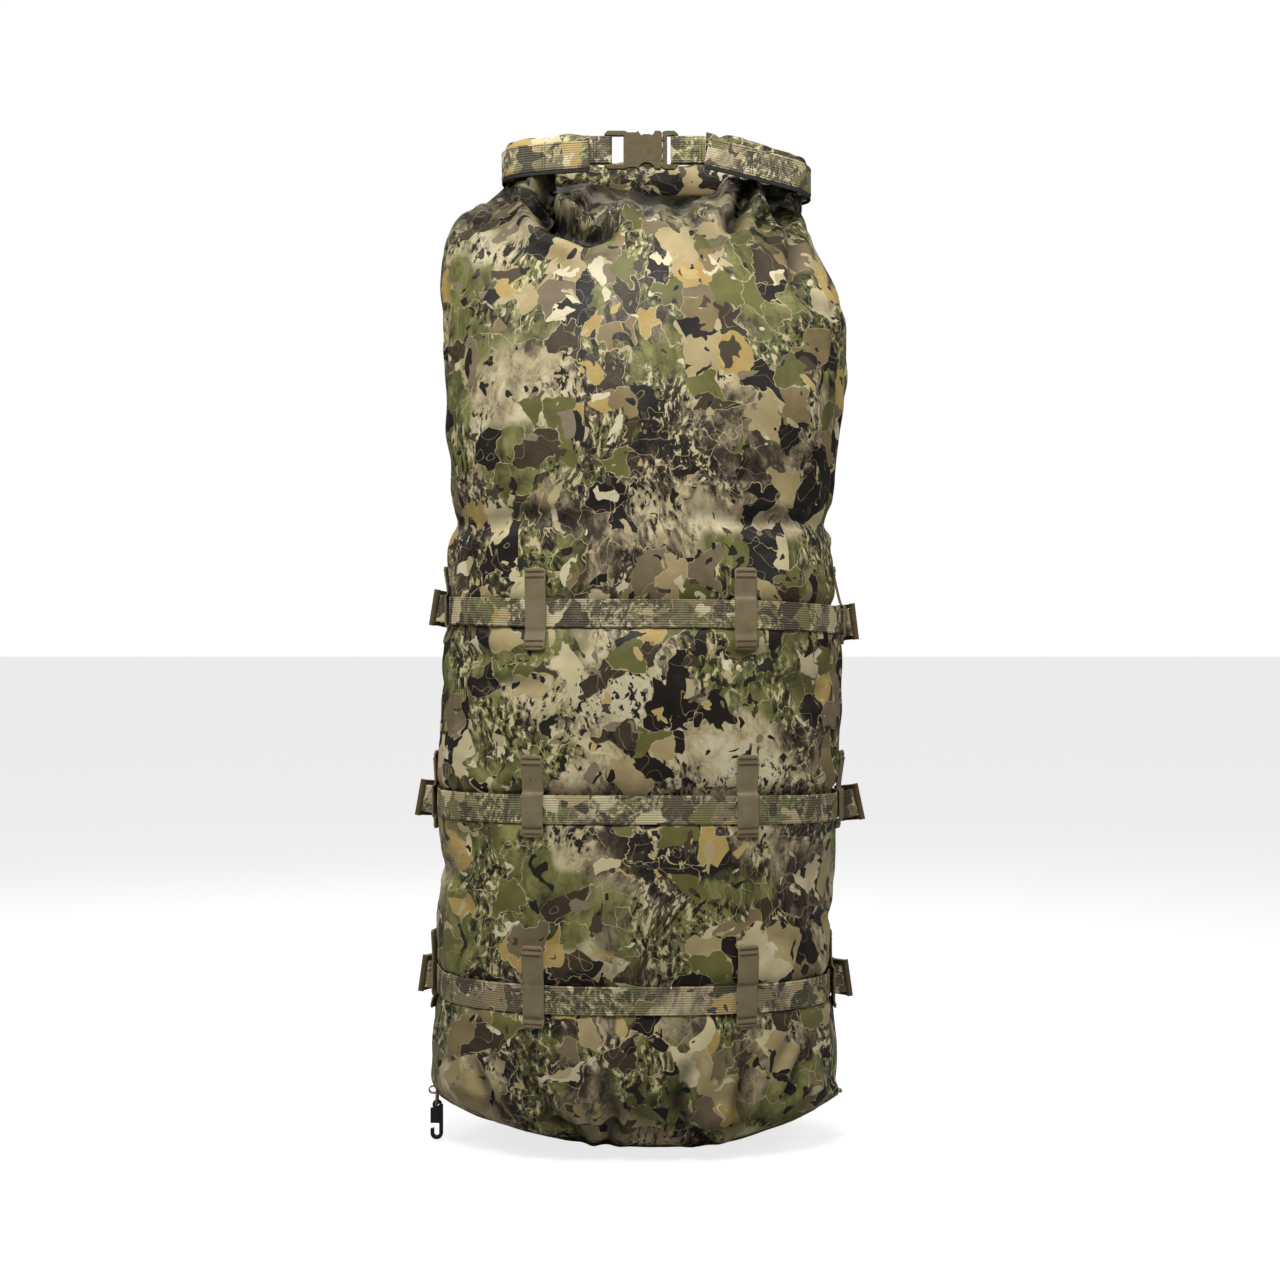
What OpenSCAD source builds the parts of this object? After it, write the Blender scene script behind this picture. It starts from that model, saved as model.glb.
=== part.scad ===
// Roll-top stuff sack with three compression straps, stuffed full and standing on its base.
// Frame: +Z up, the front faces -Y, and the origin is on the floor under the middle of the sack.
// All sizes are in millimetres.

/* [Sack] */
// Thickness of the coated fabric
fabric_t = 1.6; // [1.2:0.1:2]
// Facets around each half of the sack
half_steps = 22; // [16:2:26]

/* [Webbing] */
// Width of the strap and mouth webbing
webbing_w = 25; // [22:0.5:25]
// Thickness of the webbing
webbing_t = 1.5; // [1.2:0.1:1.5]

/* [Keeper loops] */
// Width of a keeper loop
loop_w = 20.5; // [16:0.5:22]
// Height of a keeper loop, from end to end
loop_h = 72; // [68:1:76]
// Thickness of the keeper loop material
loop_t = 1.6; // [1.2:0.1:1.6]
// Distance of the front and back keeper loops from the centre line
loop_x = 90; // [84:1:96]

/* [Rolled mouth] */
// Thickness of the rolled fabric
roll_t = 14; // [12:0.5:15]
// Height of the rolled fabric below the centre of the mouth webbing
roll_below = 13.5; // [12.5:0.5:13.5]
// Height of the rolled fabric above the centre of the mouth webbing
roll_above = 20; // [18:0.5:20]

/* [Side release buckle] */
// Thickness of the buckle
buckle_t = 8; // [7.5:0.1:8.5]
// Radius of the bars that the webbing goes round
bar_r = 2.6; // [2.2:0.1:2.6]
// Play between the prongs and the socket
buckle_play = 0.4; // [0.3:0.05:0.5]

/* [Gear hook] */
// Thickness of the hook
hook_t = 4; // [3:0.5:4]
// Width of the hook's mouth
hook_mouth = 4.6; // [4.4:0.1:5]

/* [Hidden] */
$fn = 32;
CAMO = [0.49, 0.45, 0.32];
WEBBING = [0.52, 0.49, 0.36];
HYPALON = [0.42, 0.38, 0.29];
COYOTE = [0.38, 0.32, 0.21];
TRIM = [0.06, 0.06, 0.055];
TAPE = [0.32, 0.31, 0.28];

// Cross-sections of the stuffed sack, from the base up:
// height, left, right, depth in front of the seams, depth behind them, squareness.
SECTIONS = [
  [0, -58, 88, 60, 60, 2.2],
  [5, -85, 112, 82, 82, 2.2],
  [14, -120, 136, 104, 104, 2.2],
  [24, -150, 157, 118, 118, 2.2],
  [36, -171, 172, 128, 128, 2.2],
  [43, -184, 176, 131, 131, 2.2],
  [50, -187, 178, 134, 134, 2.2],
  [80, -188, 177, 139, 139, 2.3],
  [117, -184, 173, 142, 142, 2.3],
  [130, -184, 172, 143, 143, 2.3],
  [160, -184, 172, 143, 143, 2.3],
  [207, -181, 170, 145, 145, 2.3],
  [252, -177, 171, 145, 145, 2.3],
  [296, -181, 178, 145, 145, 2.3],
  [326, -181, 178, 145, 145, 2.3],
  [374, -178, 179, 146, 146, 2.3],
  [430, -175, 178, 146, 146, 2.3],
  [466, -172, 178, 144, 144, 2.3],
  [496, -172, 178, 144, 144, 2.3],
  [520, -171, 175, 142, 142, 2.3],
  [542, -170, 171, 141, 141, 2.3],
  [564, -164, 165, 138, 138, 2.3],
  [586, -169, 172, 141, 141, 2.3],
  [620, -172, 177, 142, 142, 2.3],
  [665, -175, 184, 140, 139, 2.3],
  [709, -177, 187, 134, 130, 2.2],
  [743, -178, 190, 126, 118, 2.2],
  [776, -180, 180, 115, 103, 2.1],
  [798, -178, 171, 105, 90, 2.1],
  [821, -175, 162, 92, 70, 2.1],
  [840, -165, 154, 78, 50, 2.1]
];
sack_h = SECTIONS[len(SECTIONS) - 1][0];
LEFT = [for (s = SECTIONS) [s[0], s[1]]];
RIGHT = [for (s = SECTIONS) [s[0], s[2]]];
FRONT = [for (s = SECTIONS) [s[0], s[3]]];
BACK = [for (s = SECTIONS) [s[0], s[4]]];
POWER = [for (s = SECTIONS) [s[0], s[5]]];

// The neck between the sack and the roll: height on the centre line, slope to the right,
// left, right, depth in front, depth behind.
NECK = [
  [840.4, 0, -164, 153, 76, 48],
  [850, -0.02, -157, 150, 68, 34],
  [859, -0.035, -145, 148, 61, 16],
  [864.8, -0.045, -128, 147, 56, 5]
];

// Centre line of the rolled mouth, from its left end at the buckle, round the back, to its right end.
ROLL = [
  [-46, -47, 898], [-80, -46, 896], [-104, -44, 894], [-114, -38, 893], [-118, -27, 891.5],
  [-114, -16, 889.5], [-104, -9, 888], [-60, -3, 884], [0, 0, 881], [60, -1, 880],
  [105, -4, 878], [133, -9, 877], [144, -16, 876.5], [148, -27, 877], [144, -38, 879],
  [133, -45, 882.5], [100, -48, 891], [60, -50, 900]
];

// Hollow in the roll that holds the stiffener, and the slit below it.
core_half = 1.2;
core_low = -9;
core_high = 15;
slit = 0.2;

// Heights of the straps' centre lines, and how far their keeper loops sit above them.
STRAP_Z = [145, 311, 481];
LOOP_RISE = [11, 11, 4];
side_loop_rise = 9;
side_loop_y = -6;
strap_gap = 0.4;
loop_gap = 0.3;
tack_h = 9;
side_slack = 1.6;

// Each ladder lock: how far out its rod sits, its height above the strap, and its lean in degrees.
LOCK_LEFT = [[18.5, 1, 8], [24, -2, 10], [20, 6, 9]];
LOCK_RIGHT = [[22, -4, 8], [26.5, -7, 12], [22, -7, 7]];
lock_h = 34;
rod_r = 2.8;
rod_y = 10;
rail_w = 3.8;
// Height of each rail's inner face above the middle of the lock.
rail_z = 12.8;
// The bar that turns in the back strap's eye: distance out from the sack, and y.
lock_bar = [11, 34];
lock_bar_r = 2.4;
bar_play = 0.2;

// Side release buckle, centred between the ends of the rolled mouth.
BUCKLE = [0, -52, 902];
buckle_half = 17.2;
socket_half = 15;
slot_half = 13.2;
female_bar_x = -29.6;
male_bar_x = 32;
knuckle = [22.2, 9.5];
knuckle_r = 1.5;
prong_t = 4;

// Gear hook at the lower left corner, hanging on a short cord through a webbing loop.
corner_x = -185.5;
corner_y = -34;
cord_r = 1.2;
ring_r = 6.7;
ring_top_z = 46.8;
eye_z = ring_top_z - 2 * ring_r;
eye_r = 1.75;
// The cord's route in the plane of its loop: offset from corner_y, and height.
CORD = [
  [0.4, 33.4], [2.6, 33.9], [4.7, 35.4], [6.2, 37.6], [6.7, 40.1], [6.2, 42.6], [4.7, 44.8],
  [2.6, 46.3], [0, 46.8], [-2.6, 46.3], [-4.7, 44.8], [-6.2, 42.6], [-6.7, 40.1],
  [-6.2, 37.6], [-4.7, 35.4], [-2.6, 33.9], [-0.4, 33.4]
];

// ---- Shapes shared by several parts ----

// A point of a superellipse that has its own depth in front (-Y) and behind (+Y).
function oval(left, right, front, back, power, turn) =
  let (e = 2 / power, depth = sin(turn) >= 0 ? back : front)
  [
    (left + right) / 2 + (right - left) / 2 * sign(cos(turn)) * pow(abs(cos(turn)), e),
    depth * sign(sin(turn)) * pow(abs(sin(turn)), e)
  ];

// A point of the sack's outline at height z, moved outwards by out.
function outline(z, turn, out = 0) = oval(
  lookup(z, LEFT) - out, lookup(z, RIGHT) + out,
  lookup(z, FRONT) + out, lookup(z, BACK) + out, lookup(z, POWER), turn);

// Direction in degrees in which the sack's outline faces at a turn.
function facing(z, turn) =
  let (step = outline(z, turn + 1) - outline(z, turn - 1))
  atan2(-step[0], step[1]);

// The turn at which the outline passes a given x on its front (-1) or its back (1).
function turn_at_x(z, x, side) =
  let (
    mid = (lookup(z, LEFT) + lookup(z, RIGHT)) / 2,
    half = (lookup(z, RIGHT) - lookup(z, LEFT)) / 2,
    c = sign(x - mid) * pow(abs(x - mid) / half, lookup(z, POWER) / 2)
  )
  side * acos(c);

// The turn at which the outline passes a given y in front of the seams, on the left or the right.
function turn_at_y(z, y, side) =
  let (s = asin(pow(-y / lookup(z, FRONT), lookup(z, POWER) / 2)))
  side > 0 ? -s : 180 + s;

// Unit direction of a flat path at point i.
function heading(path, i) =
  let (
    last = len(path) - 1,
    step = path[min(i + 1, last)] - path[max(i - 1, 0)],
    flat = [step[0], step[1]]
  )
  flat / norm(flat);

// The path moved sideways by d, to the left of its direction.
function beside(path, d) = [
  for (i = [0:len(path) - 1])
    let (h = heading(path, i))
    [path[i][0] - d * h[1], path[i][1] + d * h[0]]
];

function backwards(list) = [for (i = [len(list) - 1:-1:0]) list[i]];

// A flat band of even thickness that follows a path in plan.
module band(path, thick, width) {
  linear_extrude(width, center = true)
    polygon(concat(beside(path, thick / 2), backwards(beside(path, -thick / 2))));
}

// A closed solid through a list of rings that all have the same number of points.
module skin(rings) {
  count = len(rings[0]);
  last = len(rings) - 1;
  polyhedron(
    points = [for (ring = rings) each ring],
    faces = concat(
      [[for (i = [0:count - 1]) i]],
      [for (j = [0:last - 1], i = [0:count - 1])
        let (k = (i + 1) % count)
        each [
          [j * count + i, (j + 1) * count + i, (j + 1) * count + k],
          [j * count + i, (j + 1) * count + k, j * count + k]
        ]],
      [[for (i = [count - 1:-1:0]) last * count + i]]
    ),
    convexity = 8
  );
}

// One ring of a shape that follows the roll's centre line: profile points are [outwards, upwards].
function roll_ring(i, profile) =
  let (h = heading(ROLL, i))
  [for (p = profile) ROLL[i] + [-h[1] * p[0], h[0] * p[0], p[1]]];

function box_profile(inner, outer, low, high) =
  [[inner, low], [inner, high], [outer, high], [outer, low]];

module along_roll(profile, first, last) {
  skin([for (i = [first:last]) roll_ring(i, profile)]);
}

// ---- Sack ----

// Height of the shell's inner surface at a section's height.
function inner_z(z) = fabric_t + z * (sack_h - 2 * fabric_t) / sack_h;

// One row of points on a panel: half of a cross-section, from the seam at angle start.
function panel_row(s, start, inner) = [
  for (i = [0:half_steps])
    let (
      turn = start + 180 * i / half_steps,
      cut = inner ? fabric_t : 0,
      p = oval(s[1] + cut, s[2] - cut, s[3] - cut, s[4] - cut, s[5], turn)
    )
    [p[0], p[1], inner ? inner_z(s[0]) : s[0]]
];

// Half of the sack shell, from the seam at angle start round to the opposite seam.
module panel(start) {
  rows = len(SECTIONS);
  wide = half_steps + 1;
  inner = rows * wide;
  top = inner - wide;
  points = concat(
    [for (s = SECTIONS) each panel_row(s, start, false)],
    [for (s = SECTIONS) each panel_row(s, start, true)]
  );
  walls = [for (j = [0:rows - 2], i = [0:half_steps - 1])
    let (a = j * wide + i, b = a + wide)
    each [
      [a, b, b + 1], [a, b + 1, a + 1],
      [inner + a, inner + b + 1, inner + b], [inner + a, inner + a + 1, inner + b + 1]
    ]];
  seams = [for (j = [0:rows - 2])
    let (a = j * wide, b = a + wide, c = a + half_steps, d = b + half_steps)
    each [
      [inner + a, inner + b, b], [inner + a, b, a],
      [c, d, inner + d], [c, inner + d, inner + c]
    ]];
  floor_and_top = [
    [for (i = [0:half_steps]) i],
    [for (i = [half_steps:-1:0]) inner + i],
    [0, inner, inner + half_steps, half_steps],
    [for (i = [half_steps:-1:0]) top + i],
    [for (i = [0:half_steps]) inner + top + i],
    [top + half_steps, inner + top + half_steps, inner + top, top]
  ];
  polyhedron(points = points, faces = concat(walls, seams, floor_and_top), convexity = 6);
}

module front_panel() {
  color(CAMO) panel(180);
}

module back_panel() {
  color(CAMO) panel(0);
}

module neck() {
  color(CAMO) skin([for (s = NECK)
    [for (i = [0:39])
      let (p = oval(s[2], s[3], s[4], s[5], 2.4, -9 * i))
      [p[0], p[1], s[0] + s[1] * p[0]]]]);
}

// Sealing tape inside a side seam; side is -1 on the left and 1 on the right.
module side_seam_tape(side) {
  turn = side > 0 ? 0 : 180;
  near = fabric_t + 0.6;
  far = near + 0.5;
  color(TAPE) skin([for (s = SECTIONS) if (s[0] > 48 && s[0] < 780)
    [for (p = [[far, -3], [far, 0], [far, 3], [near, 3], [near, 0], [near, -3]])
      let (at = oval(s[1] + p[0], s[2] - p[0], s[3] - p[0], s[4] - p[0], s[5], turn + p[1]))
      [at[0], at[1], inner_z(s[0])]]]);
}

module bottom_seam_tape() {
  color(TAPE) translate([-40, -10, inner_z(0) + 0.4]) cube([110, 20, 0.5]);
}

// ---- Rolled mouth ----

// Rolled fabric, drawn as one thick turn that closes on itself with a slit underneath.
module rolled_mouth() {
  r = roll_t / 2;
  low = -roll_below;
  high = roll_above;
  right_half = [
    [r - 5, high], [r - 2, high - 1], [r, high - 4], [r, low + 4], [r - 2, low + 1], [r - 5, low],
    [slit, low], [slit, core_low], [core_half, core_low], [core_half, core_high]
  ];
  left_half = backwards([for (p = right_half) [-p[0], p[1]]]);
  color(CAMO) along_roll(concat(left_half, right_half), 0, len(ROLL) - 1);
}

module mouth_stiffener() {
  thick = core_half - 0.6;
  color(TRIM) along_roll(box_profile(-thick, thick, core_low + 1, core_high - 1), 2, len(ROLL) - 3);
}

module mouth_binding() {
  out = roll_t / 2 + 0.3;
  low = -webbing_w / 2 - 0.3;
  color(TRIM) along_roll(box_profile(out, out + 1.2, low - 3.4, low), 0, len(ROLL) - 1);
}

module mouth_webbing(first, last) {
  out = roll_t / 2 + 0.3;
  half = webbing_w / 2;
  color(WEBBING) along_roll(box_profile(out, out + webbing_t, -half, half), first, last);
}

// ---- Side release buckle: x along the buckle, z across it ----

// A doubled piece of webbing that goes round a bar at bar_x and reaches to end_x.
module buckle_webbing(bar_x, end_x) {
  out = sign(end_x - bar_x);
  r = bar_r + 0.2 + webbing_t / 2;
  path = concat(
    [[end_x, -r]],
    [for (a = [-90:15:90]) [bar_x - out * r * cos(a), r * sin(a)]],
    [[end_x, r]]
  );
  color(WEBBING) translate(BUCKLE) band(path, webbing_t, webbing_w);
}

// A flat plate in the buckle's plane.
module plate(points, thick) {
  rotate([90, 0, 0]) linear_extrude(thick, center = true) polygon(points);
}

module buckle_female() {
  h = buckle_half;
  color(COYOTE) translate(BUCKLE) {
    difference() {
      plate([
        [-32.4, -h + 3], [-32.4, h - 3], [-29.4, h], [-14, h], [-11, h - 1.5], [-4, h - 1.5],
        [-1, h], [18, h], [20, h - 2], [20, -h + 2], [18, -h], [-1, -h], [-4, -h + 1.5],
        [-11, -h + 1.5], [-14, -h], [-29.4, -h]
      ], buckle_t);
      translate([-9, -prong_t / 2 - buckle_play, -socket_half])
        cube([40, prong_t + 2 * buckle_play, 2 * socket_half]);
      translate([-33, -buckle_t, -slot_half]) cube([18, 2 * buckle_t, 2 * slot_half]);
      for (side = [-1, 1])
        translate([6, 0, side * 19]) rotate([90, 0, 0])
          cylinder(r = 7.6, h = 2 * buckle_t, center = true);
    }
    translate([female_bar_x, 0, 0]) cylinder(r = bar_r, h = 2 * slot_half + 2, center = true);
  }
}

module buckle_male() {
  h = buckle_half;
  color(COYOTE) translate(BUCKLE) {
    difference() {
      plate([[20.4, -h + 1], [20.4, h - 1], [23, h], [31, h], [34.6, h - 3],
        [34.6, -h + 3], [31, -h], [23, -h]], buckle_t - 1);
      translate([24.6, -buckle_t, -slot_half]) cube([12, 2 * buckle_t, 2 * slot_half]);
      for (side = [-1, 1]) {
        translate([knuckle[0], 0, side * knuckle[1]]) rotate([90, 0, 0])
          cylinder(r = knuckle_r + 0.06, h = 2 * buckle_t, center = true);
        translate([19, -buckle_t, side * (knuckle[1] - 0.4) - 2.1]) cube([3.2, 2 * buckle_t, 4.2]);
      }
    }
    translate([male_bar_x, 0, 0]) cylinder(r = bar_r, h = 2 * slot_half + 2, center = true);
    translate([-6, -prong_t / 2, -2.4]) cube([27, prong_t, 4.8]);
  }
}

// A sprung latch arm; side is 1 for the upper one and -1 for the lower one.
module latch(side) {
  color(COYOTE) translate(BUCKLE) mirror([0, 0, side > 0 ? 0 : 1]) {
    plate([
      [0.4, 9.6], [0.4, 12], [1.4, 13.6], [3.4, 14.5], [8.6, 14.5], [10.6, 13.6], [11.6, 11.6],
      [14, 10.8], [knuckle[0], 10.8], [knuckle[0], 8.2], [12, 8.2], [9, 9], [4, 9]
    ], prong_t);
    translate([knuckle[0], 0, knuckle[1]]) rotate([90, 0, 0])
      cylinder(r = knuckle_r, h = buckle_t - 1, center = true);
  }
}

// ---- Compression straps ----

// Half of a strap round the sack, from the seam at angle start.
module strap(level, start) {
  z = STRAP_Z[level];
  path = [for (i = [0:36]) outline(z, start + 5 * i, strap_gap + webbing_t / 2)];
  translate([0, 0, z]) band(path, webbing_t, webbing_w);
}

module strap_front(level) {
  color(WEBBING) strap(level, 180);
}

module strap_back(level) {
  color(WEBBING) {
    strap(level, 0);
    for (side = [-1, 1]) strap_eye(level, side);
  }
}

function lock_place(level, side) = (side > 0 ? LOCK_RIGHT : LOCK_LEFT)[level];

// Moves a ladder lock or tail, drawn for the right side, to its place beside a strap.
module beside_strap(level, side) {
  z = STRAP_Z[level];
  lock = lock_place(level, side);
  translate([lookup(z, side > 0 ? RIGHT : LEFT), 0, z + lock[1]])
    mirror([side > 0 ? 0 : 1, 0, 0])
      translate([lock_bar[0], lock_bar[1], 0]) rotate([0, -lock[2], 0])
        translate([-lock_bar[0], -lock_bar[1], 0]) children();
}

// The sewn eye at the end of a back strap, folded round the ladder lock's bar.
module strap_eye(level, side) {
  r = lock_bar_r + bar_play + webbing_t / 2;
  path = concat(
    [[2.2, 52], [5.2, 44.5]],
    [for (a = [150:20:390]) lock_bar + r * [cos(a), sin(a)]],
    [[11.5, 42], [7.6, 48], [5, 53.5]]
  );
  beside_strap(level, side) band(path, webbing_t, webbing_w);
}

module ladder_lock(level, side) {
  rod = [lock_place(level, side)[0], rod_y];
  reach = rod - lock_bar;
  long = norm(reach);
  rail_half = lock_bar_r - 0.4;
  color(COYOTE) beside_strap(level, side) {
    translate(lock_bar) cylinder(r = lock_bar_r, h = lock_h, center = true);
    translate(rod) cylinder(r = rod_r, h = lock_h, center = true);
    translate(lock_bar) rotate([0, 0, atan2(reach[1], reach[0])]) {
      for (end = [-1, 1])
        translate([0, -rail_half, end * (rail_z + rail_w / 2) - rail_w / 2])
          cube([long, 2 * rail_half, rail_w]);
      translate([long / 2 - 2, -1.6, -rail_z - 1]) cube([4, 3.2, 2 * rail_z + 2]);
    }
  }
}

// The end of a front strap: out to the rod, back behind it, and threaded over the toothed bar.
module strap_tail(level, side) {
  rod = [lock_place(level, side)[0], rod_y];
  along = (rod - lock_bar) / norm(rod - lock_bar);
  out = [-along[1], along[0]];
  lie = rod_r + 0.45 + webbing_t / 2;
  bend = 1.6;
  front_y = 7.4;
  far = (front_y + bend - lock_bar[1] + (lie + bend) * out[1]) / along[1];
  corner = lock_bar + far * along - (lie + bend) * out;
  turn = atan2(-along[1], -along[0]);
  threaded = concat(
    [for (a = [-90:-30:-270]) [10.4, 0] + lie * [cos(a), sin(a)]],
    [[16, lie], [18.6, 3.2], [20.2, 1.2], [20.6, -1.2]]
  );
  start_x = 3.2 + webbing_w / 2 * sin(lock_place(level, side)[2]);
  path = concat(
    [[start_x, 6.4], [start_x + 4, front_y]],
    [for (i = [0:5]) let (a = -90 + turn * i / 5) corner + bend * [cos(a), sin(a)]],
    [for (p = threaded) lock_bar + p[0] * along + p[1] * out]
  );
  color(WEBBING) beside_strap(level, side) band(path, webbing_t, webbing_w);
}

// ---- Keeper loops ----

// A strip sewn down at both ends that arches over a strap at one turn of the outline.
module keeper_loop(level, turn, rise, slack) {
  strap_z = STRAP_Z[level];
  z = strap_z + rise;
  at = outline(strap_z, turn);
  aim = facing(strap_z, turn);
  low = z - loop_h / 2;
  high = z + loop_h / 2;
  over = strap_gap + webbing_t + loop_gap + loop_t / 2 + slack;
  lie = loop_gap + 0.3 + loop_t / 2;
  path = [
    for (p = [[low, 0], [low + tack_h, 0], [strap_z - 15, 1], [strap_z + 15, 1],
      [high - tack_h, 0], [high, 0]])
      let (shift = (outline(p[0], turn) - at) * [cos(aim), sin(aim)])
      [p[1] > 0 ? over : shift + lie, p[0] - strap_z]
  ];
  color(HYPALON) translate([at[0], at[1], strap_z]) rotate([0, 0, aim]) rotate([90, 0, 0])
    band(path, loop_t, loop_w);
}

module front_loop(level, side) {
  keeper_loop(level, turn_at_x(STRAP_Z[level], side * loop_x, -1), LOOP_RISE[level], 0);
}

module back_loop(level, side) {
  keeper_loop(level, turn_at_x(STRAP_Z[level], side * loop_x, 1), LOOP_RISE[level], 0);
}

module side_loop(level, side) {
  turn = turn_at_y(STRAP_Z[level], side_loop_y, side);
  keeper_loop(level, turn, side_loop_rise, side_slack);
}

// ---- Corner loops, cord and hook ----

// A folded piece of webbing that stands out of a lower corner, seen edge on from the front.
module corner_loop(root_x, tip_x, z, gap, depth) {
  out = sign(tip_x - root_x);
  r = (gap + 1.2) / 2;
  path = concat(
    [[root_x, -r]],
    [for (a = [-90:15:90]) [tip_x - out * (r + 0.6) + out * r * cos(a), r * sin(a)]],
    [[root_x, r]]
  );
  color(WEBBING) translate([0, corner_y, z]) rotate([90, 0, 0]) band(path, 1.2, depth);
}

module corner_loop_left() {
  corner_loop(-183.4, -193.5, ring_top_z, 4.8, 6);
}

module corner_loop_right() {
  corner_loop(174.6, 185, 46, 1.2, 6);
}

module corner_cord() {
  last = len(CORD) - 1;
  color(HYPALON) skin([for (j = [0:last])
    let (
      run = CORD[min(j + 1, last)] - CORD[max(j - 1, 0)],
      across = [-run[1], run[0]] / norm(run)
    )
    [for (i = [0:7])
      let (a = -45 * i, d = cord_r * sin(a))
      [corner_x + cord_r * cos(a), corner_y + CORD[j][0] + across[0] * d, CORD[j][1] + across[1] * d]]
  ]);
}

module corner_hook() {
  arm = 3.4;
  inner = hook_mouth / 2;
  bend_z = -31.9 + arm + inner;
  body_top = -3;
  body_low = -17;
  tip_h = 4.2;
  color(TRIM) translate([corner_x, corner_y, eye_z]) rotate([90, 0, 0])
    linear_extrude(hook_t, center = true) {
      difference() {
        union() {
          circle(r = 4.3);
          translate([inner - 0.4, bend_z]) square([arm, -bend_z]);
          translate([-0.4, bend_z]) circle(r = inner + arm);
          translate([-0.4 - inner - arm, bend_z]) square([arm, tip_h]);
          translate([-0.4 - inner - arm, body_low])
            square([hook_mouth + 2 * arm, body_top - body_low]);
        }
        circle(r = eye_r);
        translate([-0.4, bend_z]) circle(r = inner);
        translate([-0.4 - inner, bend_z]) square([hook_mouth, body_low - bend_z]);
      }
    }
}

front_panel();
back_panel();
neck();
side_seam_tape(-1);  // side_seam_tape_left
side_seam_tape(1);  // side_seam_tape_right
bottom_seam_tape();
rolled_mouth();
mouth_stiffener();
mouth_binding();
mouth_webbing(0, 7);  // mouth_webbing_left
mouth_webbing(10, 17);  // mouth_webbing_right
buckle_webbing(female_bar_x, -45.6);  // buckle_webbing_left
buckle_webbing(male_bar_x, 59.4);  // buckle_webbing_right
buckle_female();
buckle_male();
latch(1);  // latch_upper
latch(-1);  // latch_lower
strap_front(0);  // strap_front_low
strap_front(1);  // strap_front_mid
strap_front(2);  // strap_front_top
strap_back(0);  // strap_back_low
strap_back(1);  // strap_back_mid
strap_back(2);  // strap_back_top
ladder_lock(0, -1);  // ladder_lock_low_left
ladder_lock(1, -1);  // ladder_lock_mid_left
ladder_lock(2, -1);  // ladder_lock_top_left
ladder_lock(0, 1);  // ladder_lock_low_right
ladder_lock(1, 1);  // ladder_lock_mid_right
ladder_lock(2, 1);  // ladder_lock_top_right
strap_tail(0, -1);  // strap_tail_low_left
strap_tail(1, -1);  // strap_tail_mid_left
strap_tail(2, -1);  // strap_tail_top_left
strap_tail(0, 1);  // strap_tail_low_right
strap_tail(1, 1);  // strap_tail_mid_right
strap_tail(2, 1);  // strap_tail_top_right
front_loop(0, -1);  // front_loop_low_left
front_loop(1, -1);  // front_loop_mid_left
front_loop(2, -1);  // front_loop_top_left
front_loop(0, 1);  // front_loop_low_right
front_loop(1, 1);  // front_loop_mid_right
front_loop(2, 1);  // front_loop_top_right
side_loop(0, -1);  // side_loop_low_left
side_loop(1, -1);  // side_loop_mid_left
side_loop(2, -1);  // side_loop_top_left
side_loop(0, 1);  // side_loop_low_right
side_loop(1, 1);  // side_loop_mid_right
side_loop(2, 1);  // side_loop_top_right
back_loop(0, -1);  // back_loop_low_left
back_loop(1, -1);  // back_loop_mid_left
back_loop(2, -1);  // back_loop_top_left
back_loop(0, 1);  // back_loop_low_right
back_loop(1, 1);  // back_loop_mid_right
back_loop(2, 1);  // back_loop_top_right
corner_loop_left();
corner_loop_right();
corner_cord();
corner_hook();
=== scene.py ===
"""Roll-top stuff sack in printed coated fabric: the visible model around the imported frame."""
import math

import bmesh
import bpy
import numpy as np
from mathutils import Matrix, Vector
from mathutils.bvhtree import BVHTree


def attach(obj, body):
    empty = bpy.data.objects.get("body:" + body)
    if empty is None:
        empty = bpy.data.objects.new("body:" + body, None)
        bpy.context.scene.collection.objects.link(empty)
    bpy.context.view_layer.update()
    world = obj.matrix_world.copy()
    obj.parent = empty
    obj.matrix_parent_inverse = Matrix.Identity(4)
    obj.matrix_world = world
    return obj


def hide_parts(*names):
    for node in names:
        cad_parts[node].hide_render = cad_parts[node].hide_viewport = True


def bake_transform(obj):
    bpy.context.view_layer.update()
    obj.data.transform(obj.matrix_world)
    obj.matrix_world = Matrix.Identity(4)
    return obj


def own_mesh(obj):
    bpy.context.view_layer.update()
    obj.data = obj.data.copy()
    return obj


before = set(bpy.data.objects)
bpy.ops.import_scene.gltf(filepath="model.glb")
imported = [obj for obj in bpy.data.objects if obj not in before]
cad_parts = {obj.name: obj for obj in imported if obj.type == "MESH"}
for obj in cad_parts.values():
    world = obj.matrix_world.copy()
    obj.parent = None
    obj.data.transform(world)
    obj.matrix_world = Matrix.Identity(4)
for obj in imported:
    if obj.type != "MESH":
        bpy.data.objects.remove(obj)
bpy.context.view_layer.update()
SCENE = bpy.context.scene
MM = 0.001
UP = np.array([0, 0, 1.0])


def placed(name, data):
    """A new object in the scene that shows the data."""
    made = bpy.data.objects.new(name, data)
    SCENE.collection.objects.link(made)
    return made


# ---- Camera, at the photograph's viewing angle ----

CAMERA_PLACE = (0.0, -2.1, 0.458)
HALF_VIEW = 0.28343          # half the picture's width at one metre

camera = placed("camera", bpy.data.cameras.new("camera"))
camera.location = CAMERA_PLACE
camera.rotation_euler = (math.pi / 2, 0, 0)
camera.data.sensor_width = 36
camera.data.lens = 18 / HALF_VIEW
SCENE.camera = camera


# ---- Vectors and paths ----

def arr(*rows):
    """Rows of millimetres as an array of metres."""
    return np.array(rows, float) * MM


def unit(v):
    v = np.asarray(v, float)
    return v / np.maximum(np.linalg.norm(v, axis=-1, keepdims=True), 1e-12)


def smooth_step(a, b, x):
    t = np.clip((np.asarray(x, float) - a) / (b - a), 0, 1)
    return t * t * (3 - 2 * t)


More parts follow.
